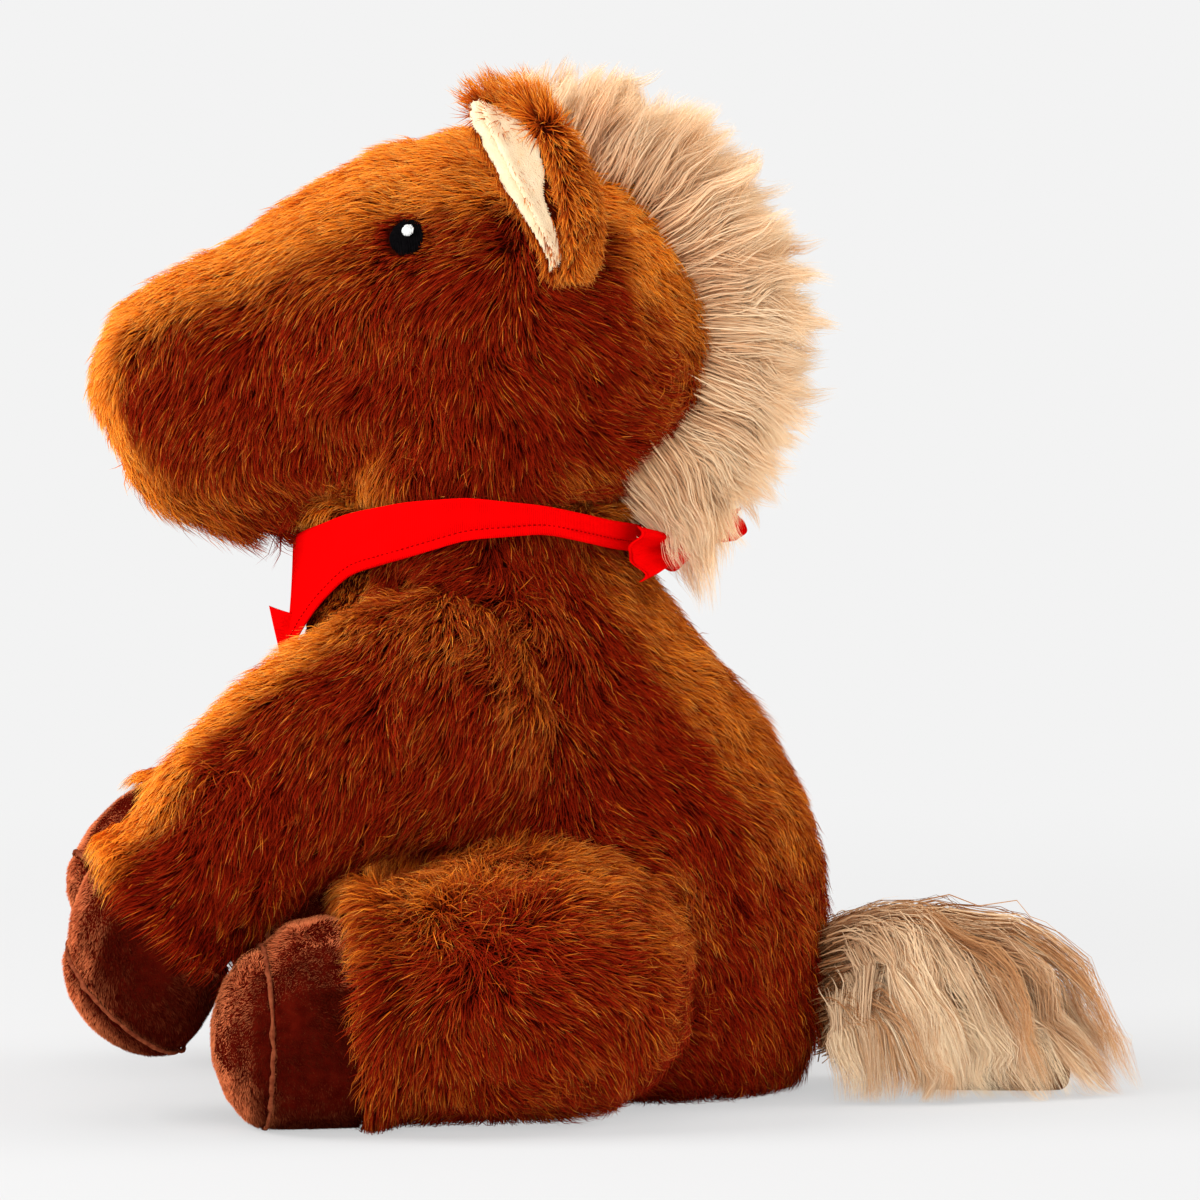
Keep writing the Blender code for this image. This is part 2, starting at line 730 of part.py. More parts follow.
def build_hindleg(side_name, materials):
    side = SIDES[side_name]
    fur_end = HINDLEG_LENGTH - HINDHOOF_LENGTH
    hoof_start = fur_end + GAP
    place = functools.partial(lying_ring, side)
    floor = floor_block(f"{side_name}_hind_floor")
    skin = hindleg_form(f"{side_name}_hindleg_skin", side, 0, fur_end, materials["fur"])
    boolean(skin, [floor, hindleg_form(f"{side_name}_hindleg_core", side, PILE, fur_end + OVERRUN)])
    hoof = build_hoof(
        f"{side_name}_hind",
        place,
        hoof_start,
        HINDLEG_LENGTH,
        HINDHOOF_RADIUS,
        HINDSOLE_BULGE,
        materials["hoof"],
    )
    for piece in hoof:
        boolean(piece, [floor])
    name = f"{side_name}_hindleg_stuffing"
    stuffing = hindleg_form(name, side, PILE + GAP, fur_end - GAP, materials["stuffing"])
    fill_hoof(stuffing, place, fur_end, HINDLEG_LENGTH, HINDHOOF_RADIUS)
    return [skin, *hoof, stuffing]


def build_hoof(prefix, place, start, end, radius, bulge, material):
    """A hoof's velour wall and the oval sole that closes it."""
    length = end - start
    wall = loft(f"{prefix}hoof_wall", hoof_rings(place, start, length, radius, 0), material)
    inner = hoof_rings(place, start, length, radius, VELOUR)
    inner.insert(0, place(start - OVERRUN, radius - VELOUR, radius))
    inner.append(place(end + OVERRUN, HOOF_SHARES[-1][1] * radius - VELOUR, radius))
    boolean(wall, [loft(f"{prefix}hoof_hollow", inner)])
    sole = loft(f"{prefix}hoof_sole", sole_rings(place, end + GAP, radius, bulge), material)
    return [wall, sole]


def fill_hoof(stuffing, place, start, end, radius):
    """Joins to a leg's stuffing what fills its hoof, and the narrower neck between the two."""
    length = end - start - GAP
    filling = loft(stuffing.name + "_end", hoof_rings(place, start + GAP, length, radius, VELOUR + GAP))
    neck = [place(along, HOOF_NECK_SHARE * radius, radius) for along in (start - PILE, start + PILE)]
    boolean(stuffing, [loft(stuffing.name + "_neck", neck), filling], "UNION")


def ear_frame(side):
    """The inner lower edge of an ear, where it is sewn to the head, on the hinge axis."""
    height = HEAD_BASE + EAR_BASE_SHARE * HEAD_HEIGHT
    _, middle, half_height, half_width = head_section_at(EAR_BEHIND)
    widest = half_width * math.sqrt(1 - ((height - middle) / half_height) ** 2)
    return Vector((side * (widest + EAR_STAND_OFF), EAR_BEHIND, height))


def ear_arc(centre, side, half_depth, half_width, near):
    """Points from an ear's near edge, at an angle, round its back to its far edge."""
    far = -math.radians(EAR_FAR_DEG)
    turns = [near + (far - near) * k / (EAR_POINTS - 1) for k in range(EAR_POINTS)]
    return [centre + Y * half_depth * math.cos(t) + X * side * half_width * math.sin(t) for t in turns]


def ear_form(name, side, outer_inset, inner_inset, first, material):
    """A folded leaf, open to the front: the layer between two insets from the ear's outside."""
    base = ear_frame(side)
    rings = []
    for height, size, shift in smooth_rows(EAR_SHARES, len(EAR_SHARES)):
        if height < first:
            continue
        half_depth = size * EAR_DEPTH / 2
        half_width = size * EAR_WIDTH / 2
        outside = half_width - EAR_LEAN * height
        centre = base + X * side * outside + Y * shift * EAR_DEPTH + Z * height * EAR_HEIGHT
        near = math.radians(EAR_NEAR_BASE_DEG + height * (EAR_NEAR_TOP_DEG - EAR_NEAR_BASE_DEG))
        outer = ear_arc(centre, side, half_depth - outer_inset * size, half_width - outer_inset * size, near)
        inner = ear_arc(centre, side, half_depth - inner_inset * size, half_width - inner_inset * size, near)
        rings.append(outer + inner[::-1])
    return loft(name, rings, material)


def build_ear(side_name, materials):
    side = SIDES[side_name]
    lining_out = EAR_BACK + GAP / EAR_SHARES[0][1]
    back = ear_form(f"{side_name}_ear_back", side, 0, EAR_BACK, 0, materials["fur"])
    lining = ear_form(
        f"{side_name}_ear_lining", side, lining_out, lining_out + EAR_LINING, 0, materials["cream"]
    )
    return [back, lining]


def oval(name, centre, normal, half_length, half_height, thickness, material=None):
    """A stitched patch: a flat oval with a rounded face, standing on centre along normal."""
    along = Z.cross(normal).normalized()
    up = normal.cross(along)
    rings = []
    for rise, size in OVAL_SHARES:
        middle = centre + normal * rise * thickness
        rings.append(ring(middle, along, up, size * half_length, size * half_height, LIMB_POINTS))
    return loft(name, rings, material)


def eye_place(side_name):
    """The middle of an eye's back, let into the head's skin, and the way the eye faces."""
    side = SIDES[side_name]
    y = EYE_LENGTH_SHARE * HEAD_LENGTH - MUZZLE_REACH
    turn = math.radians(EYE_TURN_DEG)
    step = math.radians(EYE_STEP_DEG)
    across = head_surface(y + EYE_HALF_LENGTH, turn, side) - head_surface(y - EYE_HALF_LENGTH, turn, side)
    up = head_surface(y, turn + step, side) - head_surface(y, turn - step, side)
    normal = across.cross(up).normalized()
    if normal.x * side < 0:
        normal = -normal
    return head_surface(y, turn, side) - normal * EYE_SINK, normal


def eye_room(side_name):
    start, normal = eye_place(side_name)
    back = start - normal * GAP
    sizes = (EYE_HALF_LENGTH + GAP, EYE_HALF_HEIGHT + GAP, EYE_THICKNESS + OVERRUN)
    return oval(f"{side_name}_eye_room", back, normal, *sizes)


def build_eye(side_name, materials):
    """An embroidered eye, and its highlight let into it."""
    start, normal = eye_place(side_name)
    sizes = (EYE_HALF_LENGTH, EYE_HALF_HEIGHT, EYE_THICKNESS)
    eye = oval(f"{side_name}_eye", start, normal, *sizes, materials["thread"])
    back = Z.cross(normal).normalized() * SIDES[side_name]
    spot = start + normal * (EYE_THICKNESS - GLINT_THICKNESS / 2) + Z * GLINT_UP + back * GLINT_BACK
    sizes = (GLINT_RADIUS, GLINT_RADIUS, GLINT_THICKNESS)
    glint = oval(f"{side_name}_eye_highlight", spot, normal, *sizes, materials["glint"])
    sizes = (GLINT_RADIUS + GAP, GLINT_RADIUS + GAP, EYE_THICKNESS + OVERRUN)
    boolean(eye, [oval(f"{side_name}_highlight_room", spot - normal * GAP, normal, *sizes)])
    return [eye, glint]


def mane_arc(share):
    """The direction from the middle of the mane's sweep to a place along it."""
    turn = math.radians(MANE_FROM_DEG + share * (MANE_TO_DEG - MANE_FROM_DEG))
    return Vector((0, math.cos(turn), math.sin(turn)))


def mane_centre():
    return Vector((0, MANE_CENTRE_BEHIND, HEAD_BASE + MANE_CENTRE_HEIGHT_SHARE * HEAD_HEIGHT))


def build_mane(materials):
    """The woven strip sewn down the back of the head, and the long pile that stands on it."""
    centre = mane_centre()
    pile_rings = []
    for share, size in smooth_rows(MANE_SHARES, len(MANE_SHARES) + 4):
        out = mane_arc(share)
        middle = centre + out * MANE_RADIUS
        pile_rings.append(ring(middle, X, out, size * MANE_WIDTH / 2, size * MANE_HALF_PILE, LIMB_POINTS))
    strip_rings = []
    for share in MANE_STRIP_SHARES:
        out = mane_arc(share)
        half = X * MANE_STRIP_WIDTH / 2
        low = centre + out * MANE_RADIUS * MANE_STRIP_START_SHARE
        high = centre + out * (MANE_RADIUS + MANE_HALF_PILE)
        strip_rings.append([low - half, low + half, high + half, high - half])
    strip = loft("mane_strip", strip_rings, materials["woven"])
    boolean(strip, [head_form("strip_outside", -GAP - MANE_STRIP)], "INTERSECT")
    boolean(strip, [head_form("strip_inside", -GAP), mane_clearance("strip_clearance", 0)])
    pile = loft("mane_pile", pile_rings, materials["blond"])
    boolean(pile, [head_form("pile_inside", -2 * GAP - MANE_STRIP), mane_clearance("pile_clearance", GAP)])
    return [strip, pile]


def mane_clearance(name, grow):
    """Keeps the mane's lower end behind the bandana's knot while the head turns."""
    top = NECK_TOP - MANE_CLEAR_DROP + grow
    radius = MANE_CLEAR_RADIUS + grow
    profile = ((0, -OVERRUN), (radius, -OVERRUN), (radius, top), (0, top))
    return turned(name, profile, Vector((0, 0, 0)), Z, X, CUT_POINTS)


def tail_root_y():
    return TORSO_DEPTH - CHEST_REACH + MOVING_GAP


def build_tail(materials):
    """The tail's long pile, and the woven tongue inside its root that is sewn to the rump."""
    rings = []
    for length, bottom, top, width in smooth_rows(TAIL_SHARES, len(TAIL_SHARES)):
        low = bottom * TAIL_HEIGHT - SEAT_DEPTH
        high = top * TAIL_HEIGHT
        centre = Vector((0, tail_root_y() + length * TAIL_LENGTH, (low + high) / 2))
        rings.append(ring(centre, X, Z, width * TAIL_WIDTH / 2, (high - low) / 2, LIMB_POINTS))
    pile = loft("tail_pile", rings, materials["blond"])
    strip = tail_tongue("tail_strip", 0, materials["woven"])
    boolean(pile, [floor_block("tail_floor"), tail_tongue("tail_strip_room", GAP)])
    return [pile, strip]


def tail_tongue(name, grow, material=None):
    rings = []
    height = TAIL_STRIP_AT_SHARE * TAIL_HEIGHT
    start = -OVERRUN if grow else GAP
    end = TAIL_STRIP_LENGTH + grow
    for along, size in ((start, 1), (TAIL_STRIP_LENGTH / 2, 1), (end, TAIL_STRIP_TIP_SHARE)):
        centre = Vector((0, tail_root_y() + along, height))
        half_width = size * TAIL_STRIP_WIDTH / 2 + grow
        rings.append(ring(centre, X, Z, half_width, size * TAIL_STRIP_HEIGHT / 2 + grow, LIMB_POINTS // 2))
    return loft(name, rings, material)


def knot_end(name, route):
    """One free end of the bandana: a flat tapered tongue from the knot, through (x, y, z, height) places."""
    rings = []
    for k, (x, y, z, height) in enumerate(route):
        before = route[max(k - 1, 0)]
        after = route[min(k + 1, len(route) - 1)]
        along = Vector((after[0] - before[0], after[1] - before[1], 0)).normalized()
        aside = along.cross(Z) * KNOT_END_THICKNESS / 2
        up = Z * height / 2
        centre = Vector((x, y, z))
        rings.append([centre - aside - up, centre + aside - up, centre + aside + up, centre - aside + up])
    return loft(name, rings)


def build_bandana(materials):
    """The knitted band with its bib, and the knot with its two ends behind the neck."""
    band = band_form("bandana", 0, materials["knit"])
    behind = NECK_RADIUS + 2 * MOVING_GAP + CLOTH + KNOT_HALF_DEPTH
    height = NECK_TOP - KNOT_DROP
    rings = []
    for angle in KNOT_ANGLES_DEG:
        turn = math.radians(angle)
        centre = Vector((KNOT_HALF_WIDTH * math.sin(turn), behind, height))
        size = math.cos(turn)
        rings.append(ring(centre, Y, Z, size * KNOT_HALF_DEPTH, size * KNOT_HALF_HEIGHT, LIMB_POINTS // 2))
    knot = loft("bandana_knot", rings, materials["knit"])
    start = KNOT_HALF_WIDTH / 2
    left = []
    for share, size in KNOT_LEFT_SHARES:
        x = start + share * (KNOT_LEFT_REACH - start)
        left.append((x, math.sqrt(behind * behind - x * x), height, size * KNOT_END_HEIGHT))
    right = []
    for share, size in KNOT_RIGHT_SHARES:
        x = -start - share * (KNOT_RIGHT_REACH - start)
        y = behind + share * KNOT_RIGHT_BACK
        right.append((x, y, height + share * KNOT_RIGHT_RISE, size * KNOT_END_HEIGHT))
    boolean(knot, [knot_end("knot_left_end", left), knot_end("knot_right_end", right)], "UNION")
    return [band, knot]


def joint_empty(name, place, parent):
    empty = bpy.data.objects.new(name, None)
    empty.location = place
    bpy.context.scene.collection.objects.link(empty)
    bpy.context.view_layer.update()
    attach([empty], parent)
    return empty


def attach(things, parent):
    """Parents things where they are, so that they keep their places in the layout."""
    if parent is None:
        return
    for thing in things:
        thing.parent = parent
        thing.matrix_parent_inverse = parent.matrix_world.inverted()


def centre_on_floor(assembly):
    """Moves the whole model so that its origin is under the middle of its box."""
    bpy.context.view_layer.update()
    graph = bpy.context.evaluated_depsgraph_get()
    low = Vector((math.inf, math.inf))
    high = -low
    for thing in bpy.context.scene.objects:
        if thing.type != "MESH" or thing.hide_render:
            continue
        mesh = thing.evaluated_get(graph).to_mesh()
        for vertex in mesh.vertices:
            for k in range(2):
                low[k] = min(low[k], vertex.co[k])
                high[k] = max(high[k], vertex.co[k])
    middle = (low + high) / 2
    assembly.location = (-middle.x, -middle.y, 0)
    bpy.context.view_layer.update()


def main():
    clear_scene()
    materials = make_materials()
    assembly = joint_empty("assembly", (0, 0, 0), None)
    head_turn = joint_empty("head_turn", (0, 0, NECK_TOP), assembly)
    skin, stuffing = build_head(materials)
    head_pieces = [skin, stuffing, *build_mane(materials)]
    for name in SIDES:
        head_pieces += build_eye(name, materials)
    attach(head_pieces, head_turn)
    attach(build_torso(materials) + build_bandana(materials), assembly)
    for name, side in SIDES.items():
        ear_fold = joint_empty(f"{name}_ear_fold", ear_frame(side), head_turn)
        attach(build_ear(name, materials), ear_fold)
        foreleg_swing = joint_empty(f"{name}_foreleg_swing", foreleg_frame(name, 0, 0)[0], assembly)
        attach(build_foreleg(name, materials), foreleg_swing)
        hindleg_splay = joint_empty(f"{name}_hindleg_splay", hip_point(side) + Z * HIND_RADIUS, assembly)
        attach(build_hindleg(name, materials), hindleg_splay)
    tail_swing = joint_empty("tail_swing", (0, tail_root_y() + TAIL_ROOT_RADIUS, TAIL_HEIGHT / 2), assembly)
    attach(build_tail(materials), tail_swing)
    attach([thing for thing in bpy.data.objects if thing.parent is None and thing is not assembly], assembly)
    centre_on_floor(assembly)
    for thing in bpy.data.objects:
        if thing.type == "EMPTY":
            place = thing.matrix_world.translation
            print(f"{thing.name} {place.x:.5f} {place.y:.5f} {place.z:.5f}")


main()
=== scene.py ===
"""Looks of a seated plush horse: long-pile fur, blond mane and tail, velour hooves, a knitted bandana."""

import json
import math
from collections import namedtuple
from itertools import product

import bpy
import numpy as np
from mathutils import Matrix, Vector
from mathutils.bvhtree import BVHTree


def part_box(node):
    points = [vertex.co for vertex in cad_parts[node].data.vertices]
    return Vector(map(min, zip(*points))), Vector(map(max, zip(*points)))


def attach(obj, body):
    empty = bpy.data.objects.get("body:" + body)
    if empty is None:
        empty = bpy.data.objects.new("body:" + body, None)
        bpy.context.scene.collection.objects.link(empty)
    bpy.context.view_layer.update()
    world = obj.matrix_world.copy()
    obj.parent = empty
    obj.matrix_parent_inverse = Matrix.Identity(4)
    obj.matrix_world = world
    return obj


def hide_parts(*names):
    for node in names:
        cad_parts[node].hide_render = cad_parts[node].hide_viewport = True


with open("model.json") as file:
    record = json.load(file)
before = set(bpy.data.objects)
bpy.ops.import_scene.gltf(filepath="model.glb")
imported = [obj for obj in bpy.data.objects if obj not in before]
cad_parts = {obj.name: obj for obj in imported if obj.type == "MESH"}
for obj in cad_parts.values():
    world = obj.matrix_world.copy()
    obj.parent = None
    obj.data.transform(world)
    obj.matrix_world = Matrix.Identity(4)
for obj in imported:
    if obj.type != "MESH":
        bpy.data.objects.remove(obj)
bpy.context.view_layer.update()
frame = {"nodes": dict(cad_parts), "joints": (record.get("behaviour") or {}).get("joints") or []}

NODES = frame["nodes"]
SIDES = {"left": 1, "right": -1}
UP = np.array((0.0, 0.0, 1.0))
FACES_A_PIECE = 150000
NECK_AXIS = np.array([j["pos_m"][:2] + [0] for j in frame["joints"] if j["name"] == "head_turn"][0])

# Fur: a strand's length, its width at the root, how many stand on a square metre,
# and how deep the backing lies
FUR_LENGTH = 0.0092
FUR_WIDTH = 0.0003
FUR_DENSITY = 1.75e6
UNDER_LENGTH = 0.0072
UNDER_WIDTH = 0.00042
UNDER_DENSITY = 1.1e6
FUR_INSET = 0.0047
SHALLOW_INSET = 0.0008
EYE_INSET = 0.0014
FLOOR_CLEARANCE = 0.0002

# How far the pile's way is pushed about, and over what distance: broad swirls and small tufts
SWIRL = 0.34
SWIRL_SIZE = 0.015
TUFT = 0.24
TUFT_SIZE = 0.0055

# Hairs lean over no further than this, a little past flat
MOST_LEAN = 1.62

# Neighbouring hairs fall into locks: a lock's width, and how much of the way their tips are pulled
LOCK_SIZE = 0.0017
LOCK_PULL = 0.28
EAR_LOCK_SIZE = 0.002
EAR_LOCK_PULL = 0.25

# Hairs whose roots are this near the floor are thinned, and those nearer still stay off it
FLOOR_NEAR = 0.0035
FLOOR_TOUCH = 0.0012

# The way that the painted light comes from: pile that faces it is painted palest
PAINTED_LIGHT_WAY = np.array((0, -0.55, 0.83))

# Where a leg is sewn to the torso, the fur fills the crease this far out
SEAM_REACH = 0.02

Shape = namedtuple("Shape", "points triangles normals tree low high")


def mesh_arrays(data):
    """Vertices and triangles of a mesh, as arrays."""
    data.calc_loop_triangles()
    points = np.empty(len(data.vertices) * 3, np.float32)
    data.vertices.foreach_get("co", points)
    triangles = np.empty(len(data.loop_triangles) * 3, np.int32)
    data.loop_triangles.foreach_get("vertices", triangles)
    return points.reshape(-1, 3).astype(float), triangles.reshape(-1, 3)


def unit(vectors):
    length = np.linalg.norm(vectors, axis=-1, keepdims=True)
    return vectors / np.maximum(length, 1e-9)


def face_crosses(points, triangles):
    """The way out of each triangle, as long as twice its area."""
    corners = points[triangles]
    return np.cross(corners[:, 1] - corners[:, 0], corners[:, 2] - corners[:, 0])


def vertex_normals(points, triangles):
    faces = face_crosses(points, triangles)
    normals = np.zeros_like(points)
    for k in range(3):
        np.add.at(normals, triangles[:, k], faces)
    return unit(normals)


def make_shape(points, triangles):
    tree = BVHTree.FromPolygons(points.tolist(), triangles.tolist())
    return Shape(points, triangles, vertex_normals(points, triangles), tree, points.min(0), points.max(0))


def joined_mesh(name, parts):
    """One mesh from several (points, triangles) pairs."""
    points, triangles, start = [], [], 0
    for part_points, part_triangles in parts:
        points.append(part_points)
        triangles.append(part_triangles + start)
        start += len(part_points)
    return mesh_from(name, np.concatenate(points), np.concatenate(triangles))


def mesh_from(name, points, faces):
    """A mesh from arrays of points and of faces that all have equally many corners."""
    data = bpy.data.meshes.new(name)
    corners = faces.shape[1]
    data.vertices.add(len(points))
    data.vertices.foreach_set("co", points.astype(np.float32).ravel())
    data.loops.add(faces.size)
    data.loops.foreach_set("vertex_index", faces.astype(np.int32).ravel())
    data.polygons.add(len(faces))
    data.polygons.foreach_set("loop_start", np.arange(0, faces.size, corners, dtype=np.int32))
    data.update(calc_edges=True)
    data.shade_smooth()
    return data


def add_piece(name, data, material, body=None):
    thing = bpy.data.objects.new(name, data)
    bpy.context.scene.collection.objects.link(thing)
    if material:
        data.materials.append(material)
    if body:
        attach(thing, body)
    return thing


def node_shape(*names):
    """The form of some CAD nodes together."""
    parts = [mesh_arrays(NODES[name].data) for name in names]
    if len(parts) > 1:
        parts = [mesh_arrays(joined_mesh("form", parts))]
    return make_shape(*parts[0])


def fused(names, voxel, rounds):
    """One smooth closed form round the outside of some CAD nodes."""
    data = joined_mesh("fused", [mesh_arrays(NODES[name].data) for name in names])
    thing = add_piece("fused", data, None)
    remesh = thing.modifiers.new("remesh", "REMESH")
    remesh.mode = "VOXEL"
    remesh.voxel_size = voxel
    smooth = thing.modifiers.new("smooth", "SMOOTH")
    smooth.iterations = rounds
    graph = bpy.context.evaluated_depsgraph_get()
    evaluated = thing.evaluated_get(graph)
    points, triangles = mesh_arrays(evaluated.to_mesh())
    evaluated.to_mesh_clear()
    bpy.data.objects.remove(thing)
    bpy.data.meshes.remove(data)
    return make_shape(points, triangles)


def noise(points, size, seed):
    """Smooth random numbers, mostly between -1 and 1, that change over about size metres."""
    count = 24
    table = np.random.default_rng(seed).normal(0, 0.9, (count, count, count))
    at = points / size + 7.3
    cell = np.floor(at).astype(int)
    t = at - cell
    t = t * t * (3 - 2 * t)
    found = np.zeros(len(points))
    for x, y, z in product((0, 1), repeat=3):
        corner = (cell + (x, y, z)) % count
        weight = (t[:, 0] if x else 1 - t[:, 0]) * (t[:, 1] if y else 1 - t[:, 1])
        weight = weight * (t[:, 2] if z else 1 - t[:, 2])
        found += weight * table[corner[:, 0], corner[:, 1], corner[:, 2]]
    return found


def noise_vectors(points, size, seed):
    return np.stack([noise(points, size, seed + k) for k in range(3)], 1)


def ease(values, start, end):
    """Rises smoothly from 0 at start to 1 at end."""
    t = np.clip((values - start) / (end - start), 0, 1)
    return t * t * (3 - 2 * t)


def scattered(shape, density, rng):
    """Random places spread evenly over a shape, and the directions away from it."""
    corners = shape.points[shape.triangles]
    areas = np.linalg.norm(face_crosses(shape.points, shape.triangles), axis=1) / 2
    count = int(areas.sum() * density)
    chosen = rng.choice(len(areas), count, p=areas / areas.sum())
    a, b = rng.random((2, count))
    over = a + b > 1
    a[over], b[over] = 1 - a[over], 1 - b[over]
    weights = np.stack((1 - a - b, a, b), 1)[:, :, None]
    points = (corners[chosen] * weights).sum(1)
    normals = (shape.normals[shape.triangles[chosen]] * weights).sum(1)
    return points, unit(normals)


def tangent(directions, normals):
    """Directions laid flat on a surface."""
    flat = directions - (directions * normals).sum(1)[:, None] * normals
    return unit(flat)


def strand_mesh(name, routes, widths, tones, sides):
    """Ribbons that run along routes and end in a point. A map holds each one's tone and the way along."""
    count, steps = routes.shape[:2]
    shares = np.linspace(0, 1, steps)
    taper = (1 - shares[:-1] ** 2.2) * 0.5
    half = sides * (widths[:, None] * taper[None, :])[:, :, None]
    points = np.empty((count, 2 * steps - 1, 3))
    points[:, 0:-1:2] = routes[:, :-1] - half
    points[:, 1:-1:2] = routes[:, :-1] + half
    points[:, -1] = routes[:, -1]
    points[:, :, 2] = np.maximum(points[:, :, 2], FLOOR_CLEARANCE)
    pattern = []
    for k in range(steps - 2):
        a = 2 * k
        pattern += [(a, a + 1, a + 3), (a, a + 3, a + 2)]
    last = 2 * (steps - 2)
    pattern.append((last, last + 1, last + 2))
    pattern = np.array(pattern)
    starts = np.arange(count) * (2 * steps - 1)
    faces = (pattern[None] + starts[:, None, None]).reshape(-1, 3)
    data = mesh_from(name, points.reshape(-1, 3), faces)
    along = np.concatenate((np.repeat(shares[:-1], 2), (1.0,)))
    layer = data.uv_layers.new(name="OFBake", do_init=False)
    corner_along = np.tile(along[pattern].ravel(), count)
    corner_tone = np.repeat(tones, pattern.size)
    layer.uv.foreach_set("vector", np.stack((corner_tone, corner_along), 1).astype(np.float32).ravel())
    return data


def add_strands(name, routes, widths, tones, normals, rng, material, body, slot):
    """Strand pieces on a body, in several meshes where there are many. Returns them."""
    count, steps = routes.shape[:2]
    tangents = np.empty_like(routes[:, :-1])
    tangents[:, 0] = routes[:, 1] - routes[:, 0]
    tangents[:, 1:] = routes[:, 2:] - routes[:, :-2]
    tangents = unit(tangents)
    across = unit(np.cross(tangents, normals[:, None, :]))
    above = np.cross(across, tangents)
    twist = rng.uniform(-1.2, 1.2, count)[:, None, None]
    sides = across * np.cos(twist) + above * np.sin(twist)
    each = FACES_A_PIECE // (2 * steps - 3)
    made = []
    pieces = max(1, math.ceil(count / each))
    order = np.argsort(routes[:, 0, 1]) if pieces > 1 else np.arange(count)
    for k, chosen in enumerate(np.array_split(order, pieces)):
        piece_name = f"{name}_{k + 1}" if pieces > 1 else name
        data = strand_mesh(piece_name, routes[chosen], widths[chosen], tones[chosen], sides[chosen])
        piece = add_piece(piece_name, data, material, body)
        made.append(piece)
    return made


def depths_in(tree, points, reach):
    """How deep points lie inside a closed form, negative outside it, and not past reach."""
    depths = np.full(len(points), -reach)
    for k, point in enumerate(points.tolist()):
        place, normal, _, distance = tree.find_nearest(point, reach)
        if place is None:
            continue
        inside = (place - Vector(point)).dot(normal) > 0
        depths[k] = distance if inside else -distance
    return depths


def beside(shape, points, reach):
    """How near a form points are, from 0 at reach away to 1 on or in it, and the way out of it there."""
    share = np.zeros(len(points))
    normals = np.zeros_like(points)
    close = ((points > shape.low - reach) & (points < shape.high + reach)).all(1)
    for k in np.flatnonzero(close):
        place, normal, _, distance = shape.tree.find_nearest(Vector(points[k]), reach)
        if place is not None:
            outside = (Vector(points[k]) - place).dot(normal) > 0
            share[k] = 1 - distance / reach if outside else 1
            normals[k] = normal
    return share, normals


def grown(roots, normals, lie, turns, size):
    """Routes from roots that lean over by one angle for each step, and are size long."""
    routes = np.empty((len(roots), len(turns) + 1, 3))
    routes[:, 0] = roots
    for k, turn in enumerate(turns, 1):
        step = normals * np.cos(turn)[:, None] + lie * np.sin(turn)[:, None]
        routes[:, k] = routes[:, k - 1] + step * (size / len(turns))[:, None]
    return routes


def in_range(tones):
    """Tones that stay off both ends of the colours."""
    return np.clip(tones, 0.02, 0.98)


def keep_clear(routes, keep, obstacles, reach=0.012, slack=0.0012):
    """Shortens strands that would end inside a neighbour, and drops those that start there."""
    for shape in obstacles:
        near = ((routes[:, 0] > shape.low - reach) & (routes[:, 0] < shape.high + reach)).all(1) & keep
        rows = np.flatnonzero(near)
        if not len(rows):
            continue
        root = depths_in(shape.tree, routes[rows, 0], reach)
        keep[rows[root > -0.0004]] = False
        rows = rows[root <= -0.0004]
        for share in (1.0, 0.7, 0.45):
            tip = depths_in(shape.tree, routes[rows, -1], reach)
            rows = rows[tip > slack]
            if share > 0.45:
                routes[rows] = routes[rows, :1] + (routes[rows] - routes[rows, :1]) * 0.68
        keep[rows] = False
    return keep


# Materials

GROUND_RELIEF = 0.0005


def new_material(name, roughness, specular):
    material = bpy.data.materials.new(name)
    material.use_nodes = True
    tree = material.node_tree
    shader = tree.nodes["Principled BSDF"]
    shader.inputs["Roughness"].default_value = roughness
    shader.inputs["Specular IOR Level"].default_value = specular
    return material, tree, shader


def put(tree, socket, value):
    """Sets an input to a value, or links another node's output to it."""
    if isinstance(value, bpy.types.NodeSocket):
        tree.links.new(value, socket)
    else:
        socket.default_value = value


def add_node(tree, kind, **values):
    """A shader node with its inputs set. A _ in a name stands for a space."""
    node = tree.nodes.new(f"ShaderNode{kind}")
    for name, value in values.items():
        put(tree, node.inputs[name.replace("_", " ")], value)
    return node


def ramp(tree, stops, source):
    """A colour ramp through (place, colour) stops, driven by a socket."""
    node = add_node(tree, "ValToRGB", Fac=source)
    elements = node.color_ramp.elements
    while len(elements) < len(stops):
        elements.new(0.5)
    for element, (place, colour) in zip(elements, stops):
        element.position = place
        element.color = (*colour, 1)
    return node.outputs["Color"]


def mixed(tree, first, second, share):
    node = tree.nodes.new("ShaderNodeMix")
    node.data_type = "RGBA"
    for name, value in (("Factor", share), ("A", first), ("B", second)):
        put(tree, node.inputs[name], value)
    return node.outputs["Result"]


def uneven(tree, shader, height, strength, distance):
    """A fine relief on a material's surface."""
    relief = add_node(tree, "Bump", Strength=strength, Distance=distance, Height=height)
    put(tree, shader.inputs["Normal"], relief.outputs["Normal"])


def strand_material(name, dark, light, roughness, specular):
    """Strands are coloured by their tone, between two runs of colour from root to tip."""
    material, tree, shader = new_material(name, roughness, specular)
    place = tree.nodes.new("ShaderNodeUVMap")
    place.uv_map = "OFBake"
    parts = add_node(tree, "SeparateXYZ", Vector=place.outputs["UV"])
    low = ramp(tree, dark, parts.outputs["Y"])
    high = ramp(tree, light, parts.outputs["Y"])
    put(tree, shader.inputs["Base Color"], mixed(tree, low, high, parts.outputs["X"]))
    return material


